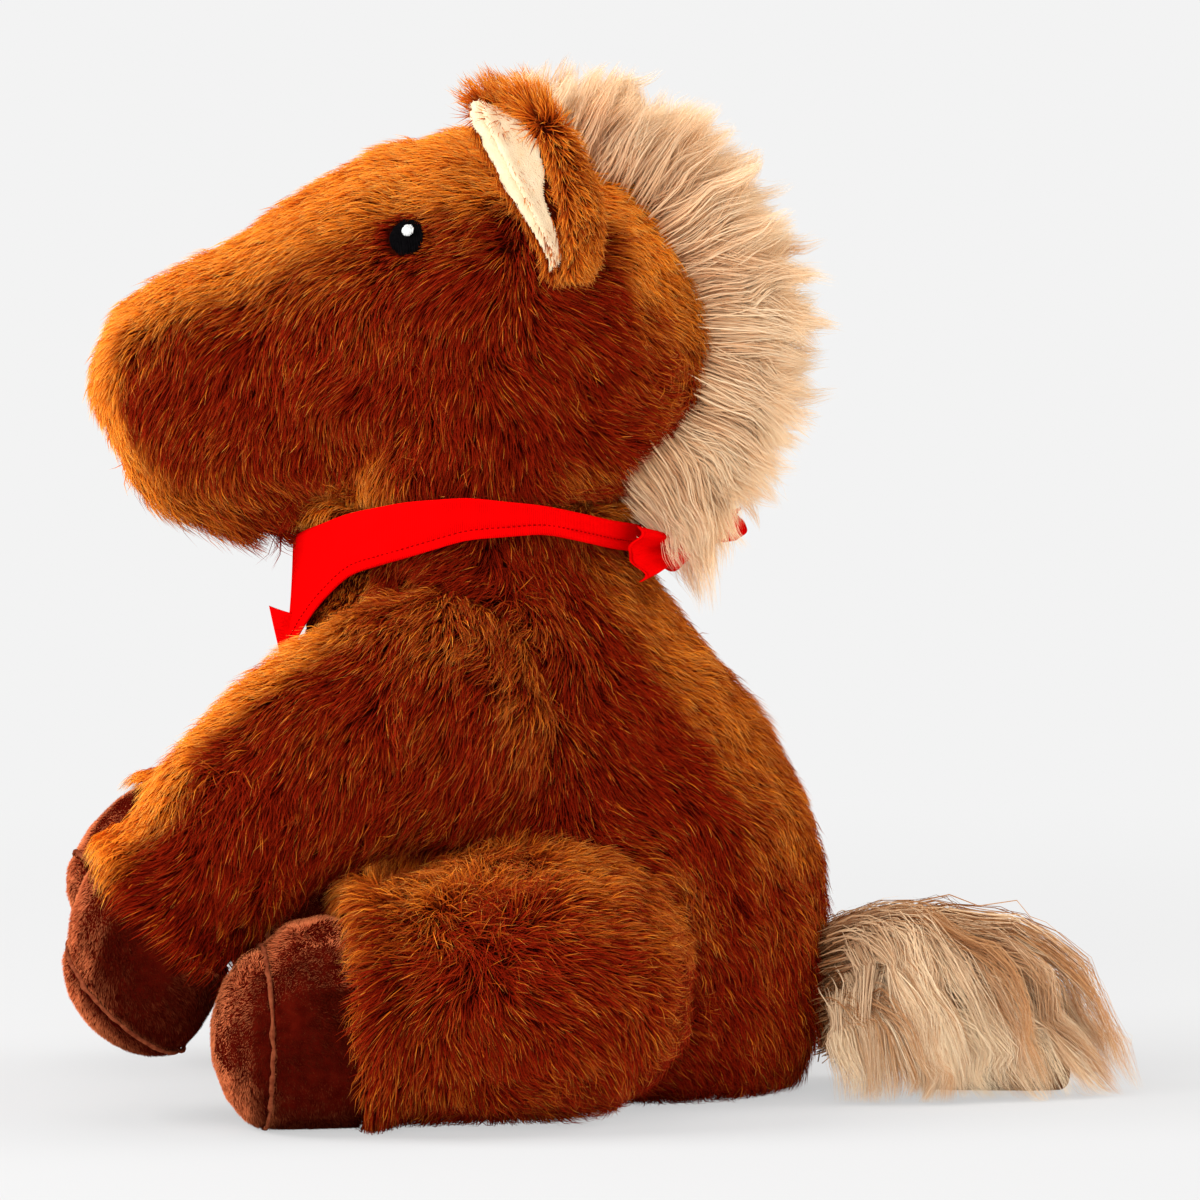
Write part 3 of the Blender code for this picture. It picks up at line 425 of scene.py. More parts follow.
def mottled_material(name, first, second, size, roughness, bump):
    """A fabric ground in two close colours, with a fine uneven surface."""
    material, tree, shader = new_material(name, roughness, 0.0)
    place = tree.nodes.new("ShaderNodeTexCoord").outputs["Object"]
    broad = add_node(tree, "TexNoise", Scale=1 / size, Detail=4, Vector=place)
    fine = add_node(tree, "TexNoise", Scale=12 / size, Detail=3, Vector=place)
    colour = ramp(tree, ((0.3, first), (0.7, second)), broad.outputs["Fac"])
    put(tree, shader.inputs["Base Color"], colour)
    uneven(tree, shader, fine.outputs["Fac"], bump, GROUND_RELIEF)
    return material


# Fur: the tone that picks between the dark and the light runs is partly painted light
FUR = strand_material(
    "fur_strands",
    (
        (0.0, (0.03, 0.0003, 0.0002)),
        (0.4, (0.11, 0.0016, 0.0006)),
        (0.75, (0.25, 0.005, 0.001)),
        (1.0, (0.4, 0.014, 0.003)),
    ),
    (
        (0.0, (0.14, 0.008, 0.001)),
        (0.4, (0.65, 0.1, 0.006)),
        (0.72, (1.0, 0.3, 0.02)),
        (1.0, (1.0, 0.56, 0.12)),
    ),
    0.7,
    0.015,
)
BLOND = strand_material(
    "blond_strands",
    ((0.0, (0.4, 0.14, 0.045)), (0.22, (0.78, 0.37, 0.15)), (1.0, (0.95, 0.6, 0.32))),
    ((0.0, (0.8, 0.45, 0.22)), (0.2, (1.0, 0.73, 0.45)), (1.0, (1.0, 0.82, 0.58))),
    0.7,
    0.03,
)
TAIL = strand_material(
    "tail_strands",
    ((0.0, (0.2, 0.06, 0.018)), (0.3, (0.42, 0.18, 0.065)), (1.0, (0.72, 0.38, 0.17))),
    ((0.0, (0.6, 0.3, 0.13)), (0.25, (1.0, 0.72, 0.44)), (1.0, (1.0, 0.82, 0.57))),
    0.7,
    0.03,
)
# Velour nap: its tone is mostly painted light, so the light runs show lit sides and the dark runs shaded
# ones
NAP = strand_material(
    "hoof_nap",
    ((0.0, (0.03, 0.0008, 0.0003)), (1.0, (0.07, 0.0025, 0.0008))),
    ((0.0, (0.4, 0.06, 0.02)), (1.0, (0.9, 0.27, 0.1))),
    0.9,
    0.0,
)
CREAM_NAP = strand_material(
    "cream_nap",
    ((0.0, (0.92, 0.7, 0.44)), (1.0, (0.97, 0.8, 0.55))),
    ((0.0, (0.95, 0.78, 0.52)), (1.0, (1.0, 0.9, 0.7))),
    0.9,
    0.05,
)
UNDERCOAT = mottled_material("undercoat", (0.02, 0.0015, 0.0005), (0.06, 0.006, 0.0015), 0.006, 0.95, 0.8)
HOOF_GROUND = mottled_material(
    "hoof_velour", (0.04, 0.0015, 0.0006), (0.08, 0.004, 0.0014), 0.003, 0.95, 0.6
)
HOOF_SEAM = mottled_material("hoof_seam", (0.16, 0.025, 0.01), (0.34, 0.085, 0.035), 0.0015, 0.95, 0.8)
CREAM_GROUND = mottled_material("cream_velour", (0.88, 0.68, 0.42), (0.95, 0.78, 0.53), 0.004, 0.9, 0.5)
BLOND_GROUND = mottled_material("blond_ground", (0.16, 0.05, 0.016), (0.34, 0.14, 0.055), 0.005, 0.95, 0.6)

# Forms to grow fur on, and what each must keep clear of

FEWER = 1
WIDER = 1
DENSITY = FUR_DENSITY * FEWER
WIDTH = FUR_WIDTH * WIDER
UNDER = (UNDER_DENSITY * FEWER, UNDER_WIDTH * WIDER)

torso = fused(("torso_skin", "torso_stuffing"), 0.002, 14)
head = fused(("head_skin", "head_stuffing"), 0.002, 14)
forelegs = {s: fused((f"{s}_foreleg_skin", f"{s}_foreleg_stuffing"), 0.0018, 10) for s in SIDES}
hindlegs = {s: fused((f"{s}_hindleg_skin", f"{s}_hindleg_stuffing"), 0.0018, 10) for s in SIDES}
hooves = {}
for side in SIDES:
    for end in ("fore", "hind"):
        hooves[side, end] = node_shape(f"{side}_{end}hoof_wall", f"{side}_{end}hoof_sole")
bandana = node_shape("bandana", "bandana_knot")
ears = {s: node_shape(f"{s}_ear_back", f"{s}_ear_lining") for s in SIDES}
eyes = {s: node_shape(f"{s}_eye") for s in SIDES}
eye_centres = {s: (eyes[s].low + eyes[s].high) / 2 for s in SIDES}


def flat_side(shape):
    """The way that a form's largest flat face looks, and the middle of that face."""
    faces = face_crosses(shape.points, shape.triangles) / 2
    areas = np.linalg.norm(faces, axis=1)
    ways = faces / np.maximum(areas, 1e-12)[:, None]
    alike = ways @ ways.T > 0.9995
    best = np.argmax(alike @ areas)
    chosen = shape.triangles[alike[best]]
    return ways[best], shape.points[np.unique(chosen)].mean(0)


def hoof_start(side, end):
    """The direction from a hoof up its leg, and how far along it the hoof's velour begins."""
    wall = mesh_arrays(NODES[f"{side}_{end}hoof_wall"].data)[0]
    along, middle = flat_side(node_shape(f"{side}_{end}hoof_sole"))
    off = wall - middle
    away = np.linalg.norm(off - (off @ along)[:, None] * along, axis=1)
    return along, (wall[away > 0.85 * away.max()] @ along).max()


def head_inset(points):
    """The backing comes up under each eye."""
    depth = np.full(len(points), FUR_INSET)
    for centre in eye_centres.values():
        far = np.linalg.norm(points - centre, axis=1)
        depth = np.minimum(depth, EYE_INSET + (FUR_INSET - EYE_INSET) * ease(far, 0.005, 0.011))
    return depth


def leg_inset(side, end):
    along, start = hoof_start(side, end)

    def depth(points):
        behind = points @ along - start
        return SHALLOW_INSET + (FUR_INSET - SHALLOW_INSET) * ease(behind, 0.0, 0.012)

    return depth


def torso_inset(points):
    """The backing comes up under the front of the bandana."""
    rise = (FUR_INSET - SHALLOW_INSET) * ease(-points[:, 1], 0.058, 0.068)
    return FUR_INSET - rise * ease(points[:, 2], 0.1, 0.115)


def head_flow(points):
    """How the fur lies: forwards on the bridge, down the cheeks, back under the jaw and on the nape."""
    high = (points[:, 2] - 0.191) / 0.045
    over = ease(high, 0.2, 1.0)[:, None]
    under = ease(-high, 0.45, 0.95)[:, None]
    nape = ease(points[:, 1], -0.035, 0.0)[:, None]
    base = np.array((0, -0.2, -1.0)) + over * (0, -1.1, 1.0) + under * (0, 0.8, 0.3)
    return base * (1 - nape) + nape * (0, 0.85, -0.6)


def torso_flow(points):
    """Down the chest, and back and down along the flanks."""
    back = ease(points[:, 1], -0.03, 0.03)[:, None]
    high = ease(points[:, 2], 0.05, 0.11)[:, None]
    flank = np.array((0, 0.35, -1.0)) + high * (0, 0.6, 0.5)
    return np.array((0, -0.25, -1.0)) * (1 - back) + back * flank


def foreleg_flow(side):
    along, _ = hoof_start(side, "fore")

    def flow(points):
        return -along + np.array((0, -0.1, -0.35))

    return flow


def hindleg_flow(side):
    """Outwards from the middle of the thigh, and down."""
    low, high = hindlegs[side].low, hindlegs[side].high

    def flow(points):
        y = (points[:, 1] - (low[1] + high[1]) / 2) / ((high[1] - low[1]) / 2)
        z = (points[:, 2] - high[2] * 0.62) / (high[2] / 2)
        return np.stack((np.zeros(len(points)), y * 1.2, z * 0.9 - 0.3), 1)

    return flow


# The bandana round the neck: where the neck is, how far the bib hangs, and the cloth's thickness

NECK_TOP = 0.157
NECK_RADIUS = 0.043
BIB_DROP = 0.041
BIB_FLARE = 0.002
CLOTH = 0.0011
CLOTH_GAP = 0.0028
BAND_COLUMNS = 420
BAND_LAYERS = 26
BAND_RIBS = 289
STITCH_HEIGHT = 0.0026
STITCH_RADIUS = 0.00017

# Half a turn from the front: share of it, then the band's top and bottom as shares of the drop
BAND_SHARES = (
    (0.0, -0.26, -1.08),
    (0.08, -0.22, -0.95),
    (0.17, -0.15, -0.7),
    (0.27, -0.05, -0.44),
    (0.39, 0.035, -0.32),
    (0.5, 0.066, -0.2),
    (0.64, 0.01, -0.17),
    (0.8, -0.11, -0.29),
    (1.0, -0.2, -0.38),
)


def smoothed(xs, table, column):
    """Values of a table's column at xs, on a soft curve through its rows."""
    rows = np.array(table)
    fine = np.interp(np.linspace(0, 1, 401), rows[:, 0], rows[:, column])
    kernel = np.hanning(41)
    padded = np.concatenate((fine[20:0:-1], fine, fine[-2:-22:-1]))
    soft = np.convolve(padded, kernel / kernel.sum(), "valid")
    return np.interp(xs, np.linspace(0, 1, 401), soft)


def off_cloth(routes, keep):
    """Shortens strands that would lie over the bandana, and drops those that still do."""
    for share in (1.0, 0.68, 0.46, 0.3):
        away = routes[:, -1] - NECK_AXIS
        turn = np.abs(np.arctan2(away[:, 0], -away[:, 1])) / math.pi
        top = NECK_TOP + smoothed(turn, BAND_SHARES, 1) * BIB_DROP
        bottom = NECK_TOP + smoothed(turn, BAND_SHARES, 2) * BIB_DROP
        out = np.hypot(away[:, 0], away[:, 1]) - NECK_RADIUS - CLOTH_GAP
        level = (away[:, 2] > bottom + 0.0005) & (away[:, 2] < top - 0.0005)
        over = (out > -0.0008) & (out < 0.006) & level
        if share > 0.3:
            routes[over] = routes[over, :1] + (routes[over] - routes[over, :1]) * 0.68
    return keep & ~over


# How much of the painted light in the pile's tone is taken off: none, half over the torso, three quarters
# on the hind legs and where they meet the torso, and up to 0.85 on the forelegs and where they meet the
# torso, less towards the front
def no_hush(points):
    return np.zeros(len(points))


def back_hush(points):
    return np.full(len(points), 0.5)


def shoulder_hush(points):
    return 0.85 * ease(points[:, 1], -0.08, -0.056)


def thigh_hush(points):
    return np.full(len(points), 0.75)


def grow_fur(
    name,
    shape,
    inset,
    flow,
    body,
    obstacles,
    seed,
    allowed=None,
    merged=(),
    fringe=None,
    trim=None,
    paler=0.0,
    even=no_hush,
):
    """Fur on a form: a short undercoat, and longer hair over it."""
    for part, density, width, length, steps, shift in (
        ("undercoat", *UNDER, UNDER_LENGTH, 3, 0.1),
        ("hair", DENSITY, WIDTH, FUR_LENGTH, 4, 0.0),
    ):
        rng = np.random.default_rng(seed + steps)
        points, normals = scattered(shape, density, rng)
        if allowed is not None:
            keep = allowed(points)
            points, normals = points[keep], normals[keep]
        depth = inset(points)
        direction = flow(points)
        # joined: the share of the painted light taken off, over the whole part and near each merged form's
        # seam
        joined = even(points)
        for other, other_flow, hush in merged:
            share, others = beside(other, points, SEAM_REACH)
            joined = np.maximum(joined, share * hush(points))
            depth = depth - SEAM_REACH / 4 * share**2
            normals = unit(normals * (1 - share / 2)[:, None] + others * (share / 2)[:, None])
            direction = direction * (1 - share / 2)[:, None] + other_flow(points) * (share / 2)[:, None]
        roots = points - normals * depth[:, None]
        direction = direction / np.maximum(np.linalg.norm(direction, axis=1), 0.7)[:, None]
        direction = direction + SWIRL * noise_vectors(points, SWIRL_SIZE, seed)
        direction = direction + TUFT * noise_vectors(points, TUFT_SIZE, seed + 3)
        lie = tangent(direction + rng.normal(0, 0.17, direction.shape), normals)
        stand = 0.5 + 0.13 * noise(points, 0.009, seed + 6) + rng.normal(0, 0.1, len(points))
        size = length * (1 + 0.1 * noise(points, 0.012, seed + 7)) * rng.uniform(0.8, 1.12, len(points))
        bend = np.full(len(points), 0.95)
        if trim is not None:
            size = size * trim(points)
        if fringe is not None:
            near = fringe(points)
            size = size * (1 + 0.3 * near)
            stand = stand * (1 - 0.35 * near)
            bend = bend + 0.3 * near
        stand = np.clip(stand, 0.08, 1.2)
        spread = (steps - 2) ** 0.9
        turns = [np.minimum(stand + bend * k / spread, MOST_LEAN) for k in range(steps - 1)]
        routes = grown(roots, normals, lie, turns, size)
        gather(routes, LOCK_SIZE, seed, LOCK_PULL)
        clear = keep_clear(routes, np.ones(len(points), bool), obstacles)
        if body in ("torso", "head"):
            clear = off_cloth(routes, clear)
        clear &= (routes[:, -1, 2] > FLOOR_CLEARANCE) | (roots[:, 2] > FLOOR_TOUCH)
        low = roots[:, 2] < FLOOR_NEAR
        clear &= ~low | (rng.random(len(points)) < 0.5)
        # The tone holds painted light, less the share in joined, with random tones and a few golden
        # strands
        tones = painted_light_fur_tone(points, normals, joined, seed) + paler - shift + rng.normal(0, 0.15, len(points))
        tones = np.where(rng.random(len(points)) < 0.06, tones + 0.5, tones)
        tones = in_range(tones)
        widths = width * rng.uniform(0.7, 1.3, len(points))
        chosen = np.flatnonzero(clear)
        strands = (routes[chosen], widths[chosen], tones[chosen], normals[chosen])
        add_strands(f"{name}_{part}", *strands, rng, FUR, body, "fur")


def painted_light_fur_tone(points, normals, joined, seed):
    """Painted light: the pile is painted paler along the toy's top, front and middle, where it faces the
    light's way, and darker on its sides. That painted light is taken off by the share in joined: over some
    whole parts, and where two forms are joined. Random patches of tone go on top.
    """
    tone = 1.3 * ease(1 - normals[:, 0] ** 2, 0.06, 0.82) * ease(normals @ PAINTED_LIGHT_WAY, -1.0, 0.3) - 0.16
    tone = tone * (1 - joined)
    return tone + 0.09 * noise(points, 0.013, seed + 8) + 0.05 * noise(points, 0.004, seed + 9)


def gather(routes, size, seed, strength):
    """Pulls the tips of neighbouring strands together, so that the pile falls into locks."""
    shaken = routes[:, 0] + 0.3 * size * noise_vectors(routes[:, 0], 3 * size, seed + 20)
    cells = np.floor(shaken / size).astype(int)
    keys = (cells[:, 0] * 73856093) ^ (cells[:, 1] * 19349663) ^ (cells[:, 2] * 83492791)
    _, group, counts = np.unique(keys, return_inverse=True, return_counts=True)
    steps = routes.shape[1]
    offset = routes - routes[:, :1]
    middle = np.zeros((len(counts), 3))
    np.add.at(middle, group, routes[:, 0])
    middle /= counts[:, None]
    shift = middle[group] - routes[:, 0]
    for k in range(1, steps):
        share = strength * (k / (steps - 1)) ** 1.5
        routes[:, k] = routes[:, 0] + offset[:, k] + shift * share


def add_backing(name, shape, inset, material, body, slot, *replaced):
    """The fabric that the fur stands on."""
    points = shape.points - shape.normals * inset(shape.points)[:, None]
    points[:, 2] = np.maximum(points[:, 2], FLOOR_CLEARANCE)
    piece = add_piece(name, mesh_from(name, points, shape.triangles), material, body)
    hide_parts(*replaced)
    return piece


def eye_clear(points):
    """Keeps fur off the middle of each eye."""
    keep = np.ones(len(points), bool)
    for centre in eye_centres.values():
        away = points - centre
        keep &= (away[:, 1] / 0.0043) ** 2 + (away[:, 2] / 0.0047) ** 2 + (away[:, 0] / 0.008) ** 2 > 1
    return keep


def head_trim(points):
    """The fur is cut short round each eye, and it is longest on the throat."""
    throat = ease(-points[:, 1], 0.052, 0.062) * (1 - ease(points[:, 2], 0.157, 0.17))
    throat = throat * (1 - ease(np.abs(points[:, 0]), 0.008, 0.018))
    share = 1 + 0.6 * throat
    for centre in eye_centres.values():
        share = share * (0.45 + 0.55 * ease(np.linalg.norm(points - centre, axis=1), 0.0055, 0.014))
    return share


def chest_trim(points):
    """The chest's fur fills the space under the bandana's edge, and it is short behind the cloth."""
    front = ease(-points[:, 1], 0.05, 0.062)
    below = ease(points[:, 2], 0.095, 0.112) * (1 - ease(points[:, 2], 0.115, 0.12))
    behind = ease(points[:, 2], 0.115, 0.121) * (1 - ease(points[:, 2], 0.143, 0.148))
    return 1 + front * (0.5 * below - 0.72 * behind)


limbs = [*forelegs.values(), *hindlegs.values()]
leg_flows = [foreleg_flow("left"), foreleg_flow("right"), hindleg_flow("left"), hindleg_flow("right")]
HUSH = {"fore": shoulder_hush, "hind": thigh_hush}
nodes = ("torso_skin", "torso_stuffing")
backing = add_backing("torso_fabric", torso, torso_inset, UNDERCOAT, "torso", "fur", *nodes)
others = [*limbs, bandana, *hooves.values()]
merged = tuple(zip(limbs, leg_flows, (HUSH["fore"], HUSH["fore"], HUSH["hind"], HUSH["hind"])))
grow_fur(
    "torso",
    torso,
    torso_inset,
    torso_flow,
    "torso",
    others,
    11,
    merged=merged,
    trim=chest_trim,
    paler=-0.06,
    even=back_hush,
)

nodes = ("head_skin", "head_stuffing")
backing = add_backing("head_fabric", head, head_inset, UNDERCOAT, "head", "fur", *nodes)
others = [bandana, *ears.values()]
grow_fur("head", head, head_inset, head_flow, "head", others, 31, eye_clear, trim=head_trim, paler=0.06)

for n, side in enumerate(SIDES):
    for end, forms, flows in (("fore", forelegs, foreleg_flow), ("hind", hindlegs, hindleg_flow)):
        shape = forms[side]
        body = f"{side}_{end}leg"
        inset = leg_inset(side, end)
        along, start = hoof_start(side, end)
        others = [torso, hooves[side, end], *(s for s in limbs if s is not shape)]
        if end == "fore":
            others.append(bandana)
        nodes = (f"{body}_skin", f"{body}_stuffing")
        backing = add_backing(f"{body}_fabric", shape, inset, UNDERCOAT, body, "fur", *nodes)
        grow_fur(
            body,
            shape,
            inset,
            flows(side),
            body,
            others,
            50 + 20 * n + (10 if end == "hind" else 0),
            lambda points, along=along, start=start: points @ along > start + 0.0004,
            merged=((torso, torso_flow, HUSH[end]),),
            fringe=lambda points, along=along, start=start: 1 - ease(points @ along - start, 0.003, 0.011),
            even=HUSH[end],
        )

# Mane and tail: long pile in pointed locks

MANE_CENTRE = NECK_AXIS + (0, 0.022, 0.2)
MANE_REACH = 0.069
MANE_LOCKS = 340
MANE_STRANDS = 95
TAIL_LOCKS = 215
TAIL_STRANDS = 90
HAIR_WIDTH = 0.0003
HAIR_STEPS = 8
HALVED = 1

# The mane runs from this angle in front of the head's top, by this much, back and down to the nape
MANE_START = 104
MANE_SPAN = 166
MANE_HALF_WIDTH = 0.0115

# How far the strands of a lock are spread at its root and at its tip
MANE_SPREAD = (0.0025, 0.0006)
TAIL_SPREAD = (0.0019, 0.0009)


def bezier(a, b, c, steps):
    """Points on smooth curves from a to c that start towards b, one row for each curve."""
    t = np.linspace(0, 1, steps)[None, :, None]
    return a[:, None] * (1 - t) ** 2 + 2 * b[:, None] * t * (1 - t) + c[:, None] * t * t


def lock_strands(
    starts, middles, ends, root_spread, end_spread, strands, rng, steps, sway_by=0.0014, whole=0.9
):
    """The strands of several locks: apart at the root, together at the tip, each a little its own way."""
    count = len(starts)
    rows = np.repeat(np.arange(count), strands)
    total = len(rows)
    spread = rng.normal(0, 1, (total, 3))
    a = starts[rows] + spread * root_spread
    b = middles[rows] + spread * (root_spread * 0.9) + rng.normal(0, 0.0007, (total, 3))
    c = ends[rows] + spread * end_spread + rng.normal(0, 0.0004, (total, 3))
    few = rng.random(total) < 0.35
    shorter = np.where(few, rng.uniform(0.55, 0.95, total), rng.uniform(whole, 1.0, total))
    routes = bezier(a, b, c, 2 * steps)
    place = np.linspace(0, 1, steps)[None, :] * shorter[:, None] * (2 * steps - 1)
    low = np.minimum(place.astype(int), 2 * steps - 2)
    t = (place - low)[:, :, None]
    line = np.arange(total)[:, None]
    routes = routes[line, low] * (1 - t) + routes[line, low + 1] * t
    wave = noise_vectors(routes.reshape(-1, 3), 0.0085, 91).reshape(routes.shape)
    fine = noise_vectors(routes.reshape(-1, 3), 0.0028, 97).reshape(routes.shape)
    sway = np.linspace(0, 1, steps)[None, :, None]
    routes = routes + (wave * sway_by + fine * 0.0003) * np.minimum(sway * 2, 1)
    return routes, rows


def head_point(turn, x, sink):
    """Where the back of the head is at an angle round the mane's middle, and the way out there."""
    out = np.array((0, math.cos(turn), math.sin(turn)))
    start = Vector(MANE_CENTRE + out * 0.12 + np.array((x, 0, 0)))
    place, normal, _, _ = head.tree.ray_cast(start, Vector(-out))
    return np.array(place) - np.array(normal) * sink, out


def add_tape(name, node, body):
    """The woven backing of mane or tail."""
    shape = fused((node,), 0.0007, 4)
    return add_piece(name, mesh_from(name, shape.points, shape.triangles), BLOND_GROUND, body)


def build_mane():
    rng = np.random.default_rng(301)
    locks = MANE_LOCKS // HALVED
    starts, middles, ends = [], [], []
    for k in range(locks):
        share = (k + rng.random()) / locks
        turn = math.radians(MANE_START - MANE_SPAN * share)
        x = rng.uniform(-MANE_HALF_WIDTH, MANE_HALF_WIDTH)
        root, out = head_point(turn, x, 0.003)
        lean = math.radians(rng.normal(-3, 7))
        tip_turn = turn + lean
        reach = MANE_REACH + rng.normal(0, 0.0032) - 0.006 * max(0, (math.degrees(turn) - 88) / 16)
        side = x * 1.55 + rng.normal(0, 0.003)
        tip = MANE_CENTRE + np.array((0, math.cos(tip_turn), math.sin(tip_turn))) * reach
        tip = tip + np.array((side, 0, 0))
        tip[2] -= 0.002
        low_end = ease(np.array(math.degrees(-turn)), 34.0, 52.0)
        fall = NECK_AXIS + (side * 1.3, 0.06 + rng.normal(0, 0.004), 0.138 + rng.normal(0, 0.005))
        tip = tip * (1 - low_end) + fall * low_end
        middle = root + out * (0.35 * np.linalg.norm(tip - root)) + np.array((x * 0.25, 0, 0))
        middle = middle + (tip - root) * 0.18
        starts.append(root)
        middles.append(middle)
        ends.append(tip)
    starts, middles, ends = (np.array(rows) for rows in (starts, middles, ends))
    strands = MANE_STRANDS // HALVED
    routes, rows = lock_strands(starts, middles, ends, *MANE_SPREAD, strands, rng, HAIR_STEPS)
    lock_tone = rng.normal(0.68, 0.12, locks)
    tones = in_range(lock_tone[rows] + rng.normal(0, 0.12, len(rows)))
    widths = HAIR_WIDTH * rng.uniform(0.7, 1.3, len(rows)) * WIDER
    normals = unit(routes[:, -1] - MANE_CENTRE + rng.normal(0, 0.02, (len(rows), 3)))
    made = add_strands("mane_hair", routes, widths, tones, normals, rng, BLOND, "head", "blond")
    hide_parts("mane_pile")
    piece = add_tape("mane_tape", "mane_strip", "head")
    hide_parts("mane_strip")


def build_tail():
    rng = np.random.default_rng(401)
    low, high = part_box("tail_pile")
    root_y, end_y, top, half = low[1], high[1], high[2], high[0]
    long_way = end_y - root_y
    short_way = half * 0.95
    locks = TAIL_LOCKS // HALVED
    starts, middles, ends = [], [], []
    for k in range(locks):
        layer = rng.random() ** 0.6 if k % 3 else rng.uniform(0, 0.35)
        turn = math.radians(rng.uniform(-96, 96)) * (1 - 0.45 * layer * (k % 2))
        aside, ahead = rng.normal(0, 0.005), rng.uniform(-0.002, 0.005)
        start = np.array((aside, root_y + ahead, top * (0.25 + 0.6 * layer)))
        reach = 1 / math.sqrt((math.cos(turn) / long_way) ** 2 + (math.sin(turn) / short_way) ** 2)
        reach *= rng.uniform(0.85, 1.02) if k % 3 else 1.0
        straight = max(math.cos(turn), 0)
        end = np.array((math.sin(turn) * reach, root_y + math.cos(turn) * reach, 0))
        end[1] = max(end[1], root_y + 0.001)
        end[1] += (1 - straight) * rng.uniform(0, 0.72) ** 2 * (end_y - end[1])
        end[2] = straight**2 * rng.uniform(-0.004, 0.006)
        middle = start * 0.18 + end * 0.82
        middle[2] = top * (0.6 + 0.68 * layer) * (0.82 + 0.18 * straight) + rng.normal(0, 0.002)
        starts.append(start)
        middles.append(middle)
        ends.append(end)
    starts, middles, ends = (np.array(rows) for rows in (starts, middles, ends))
    strands = TAIL_STRANDS // HALVED
    steps = HAIR_STEPS + 2
    routes, rows = lock_strands(starts, middles, ends, *TAIL_SPREAD, strands, rng, steps, 0.0024, 0.98)
    routes[:, :, 2] = np.maximum(routes[:, :, 2], 0.0004)
    lock_tone = rng.normal(0.66, 0.38, locks)
    tones = in_range(lock_tone[rows] + rng.normal(0, 0.16, len(rows)))
    widths = HAIR_WIDTH * rng.uniform(0.7, 1.3, len(rows)) * WIDER
    normals = unit(routes[:, routes.shape[1] // 2] - np.array((0, root_y + 0.03, 0.0)))
    made = add_strands("tail_hair", routes, widths, tones, normals, rng, TAIL, "tail", "blond")
    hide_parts("tail_pile")
    piece = add_tape("tail_tongue", "tail_strip", "tail")
    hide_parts("tail_strip")
    pile = fused(("tail_pile",), 0.002, 12)
    foot = np.array((0, (root_y + end_y) / 2, FLOOR_CLEARANCE))
    points = foot + (pile.points - (0, foot[1], pile.low[2])) * (0.5, 0.6, 0.64)
    core = add_piece("tail_core", mesh_from("tail_core", points, pile.triangles), BLOND_GROUND, "tail")


build_mane()
build_tail()

# Ears: brown pile outside, cream velour inside

EAR_CREAM_WIDTH = 0.0155

# Up the ear from its base: share of its height, then the cream's width as a share of the widest
EAR_CREAM_SHARES = (
    (0.0, 0.0),
    (0.06, 0.25),
    (0.2, 0.45),
    (0.4, 0.58),
    (0.58, 0.85),
    (0.76, 1.0),
    (0.88, 0.85),
    (0.95, 0.4),
    (1.0, 0.0),
)

# Velour: a blade's length and width, and how many stand on a square metre
NAP_WIDTH = 0.00026
EAR_NAP = (0.0009, NAP_WIDTH, 6e6)
HOOF_NAP = (0.0012, NAP_WIDTH, 7e6)


def nap(name, shape, length, width, density, material, body, slot, seed, allowed=None):
    """Short velour pile: one blade a tuft, brushed this way and that in patches, with painted light in its
    tone.
    """
    rng = np.random.default_rng(seed)
    points, normals = scattered(shape, density * (1), rng)
    if allowed is not None:
        keep = allowed(points)
        points, normals = points[keep], normals[keep]
    lie = 0.5 * noise_vectors(points, 0.009, seed) + 0.25 * noise_vectors(points, 0.002, seed + 3)
    lie = lie + (0, 0.5, -0.9)
    lie = tangent(lie + rng.normal(0, 0.2, lie.shape), normals)
    lean = np.clip(1.0 + 0.15 * noise(points, 0.003, seed + 5), 0.3, 1.35)
    step = normals * np.cos(lean)[:, None] + lie * np.sin(lean)[:, None]
    size = length * rng.uniform(0.7, 1.2, len(points))
    routes = np.stack((points - normals * 0.0002, points + step * size[:, None]), 1)
    # Painted light: blades along the outline seen from the side that face the light's way are painted
    # paler, and those on the flat sides darker
    middle = np.maximum(1 - normals[:, 0] ** 2, 0) ** 1.8
    tones = 1.55 * middle * ease(normals @ PAINTED_LIGHT_WAY, -1.0, 0.4) - 0.04
    tones = tones + 0.04 * noise(points, 0.0025, seed + 6) + rng.normal(0, 0.05, len(points))
    tones = in_range(tones)
    widths = width * rng.uniform(0.7, 1.3, len(points)) * 1
    return add_strands(name, routes, widths, tones, normals, rng, material, body, slot)


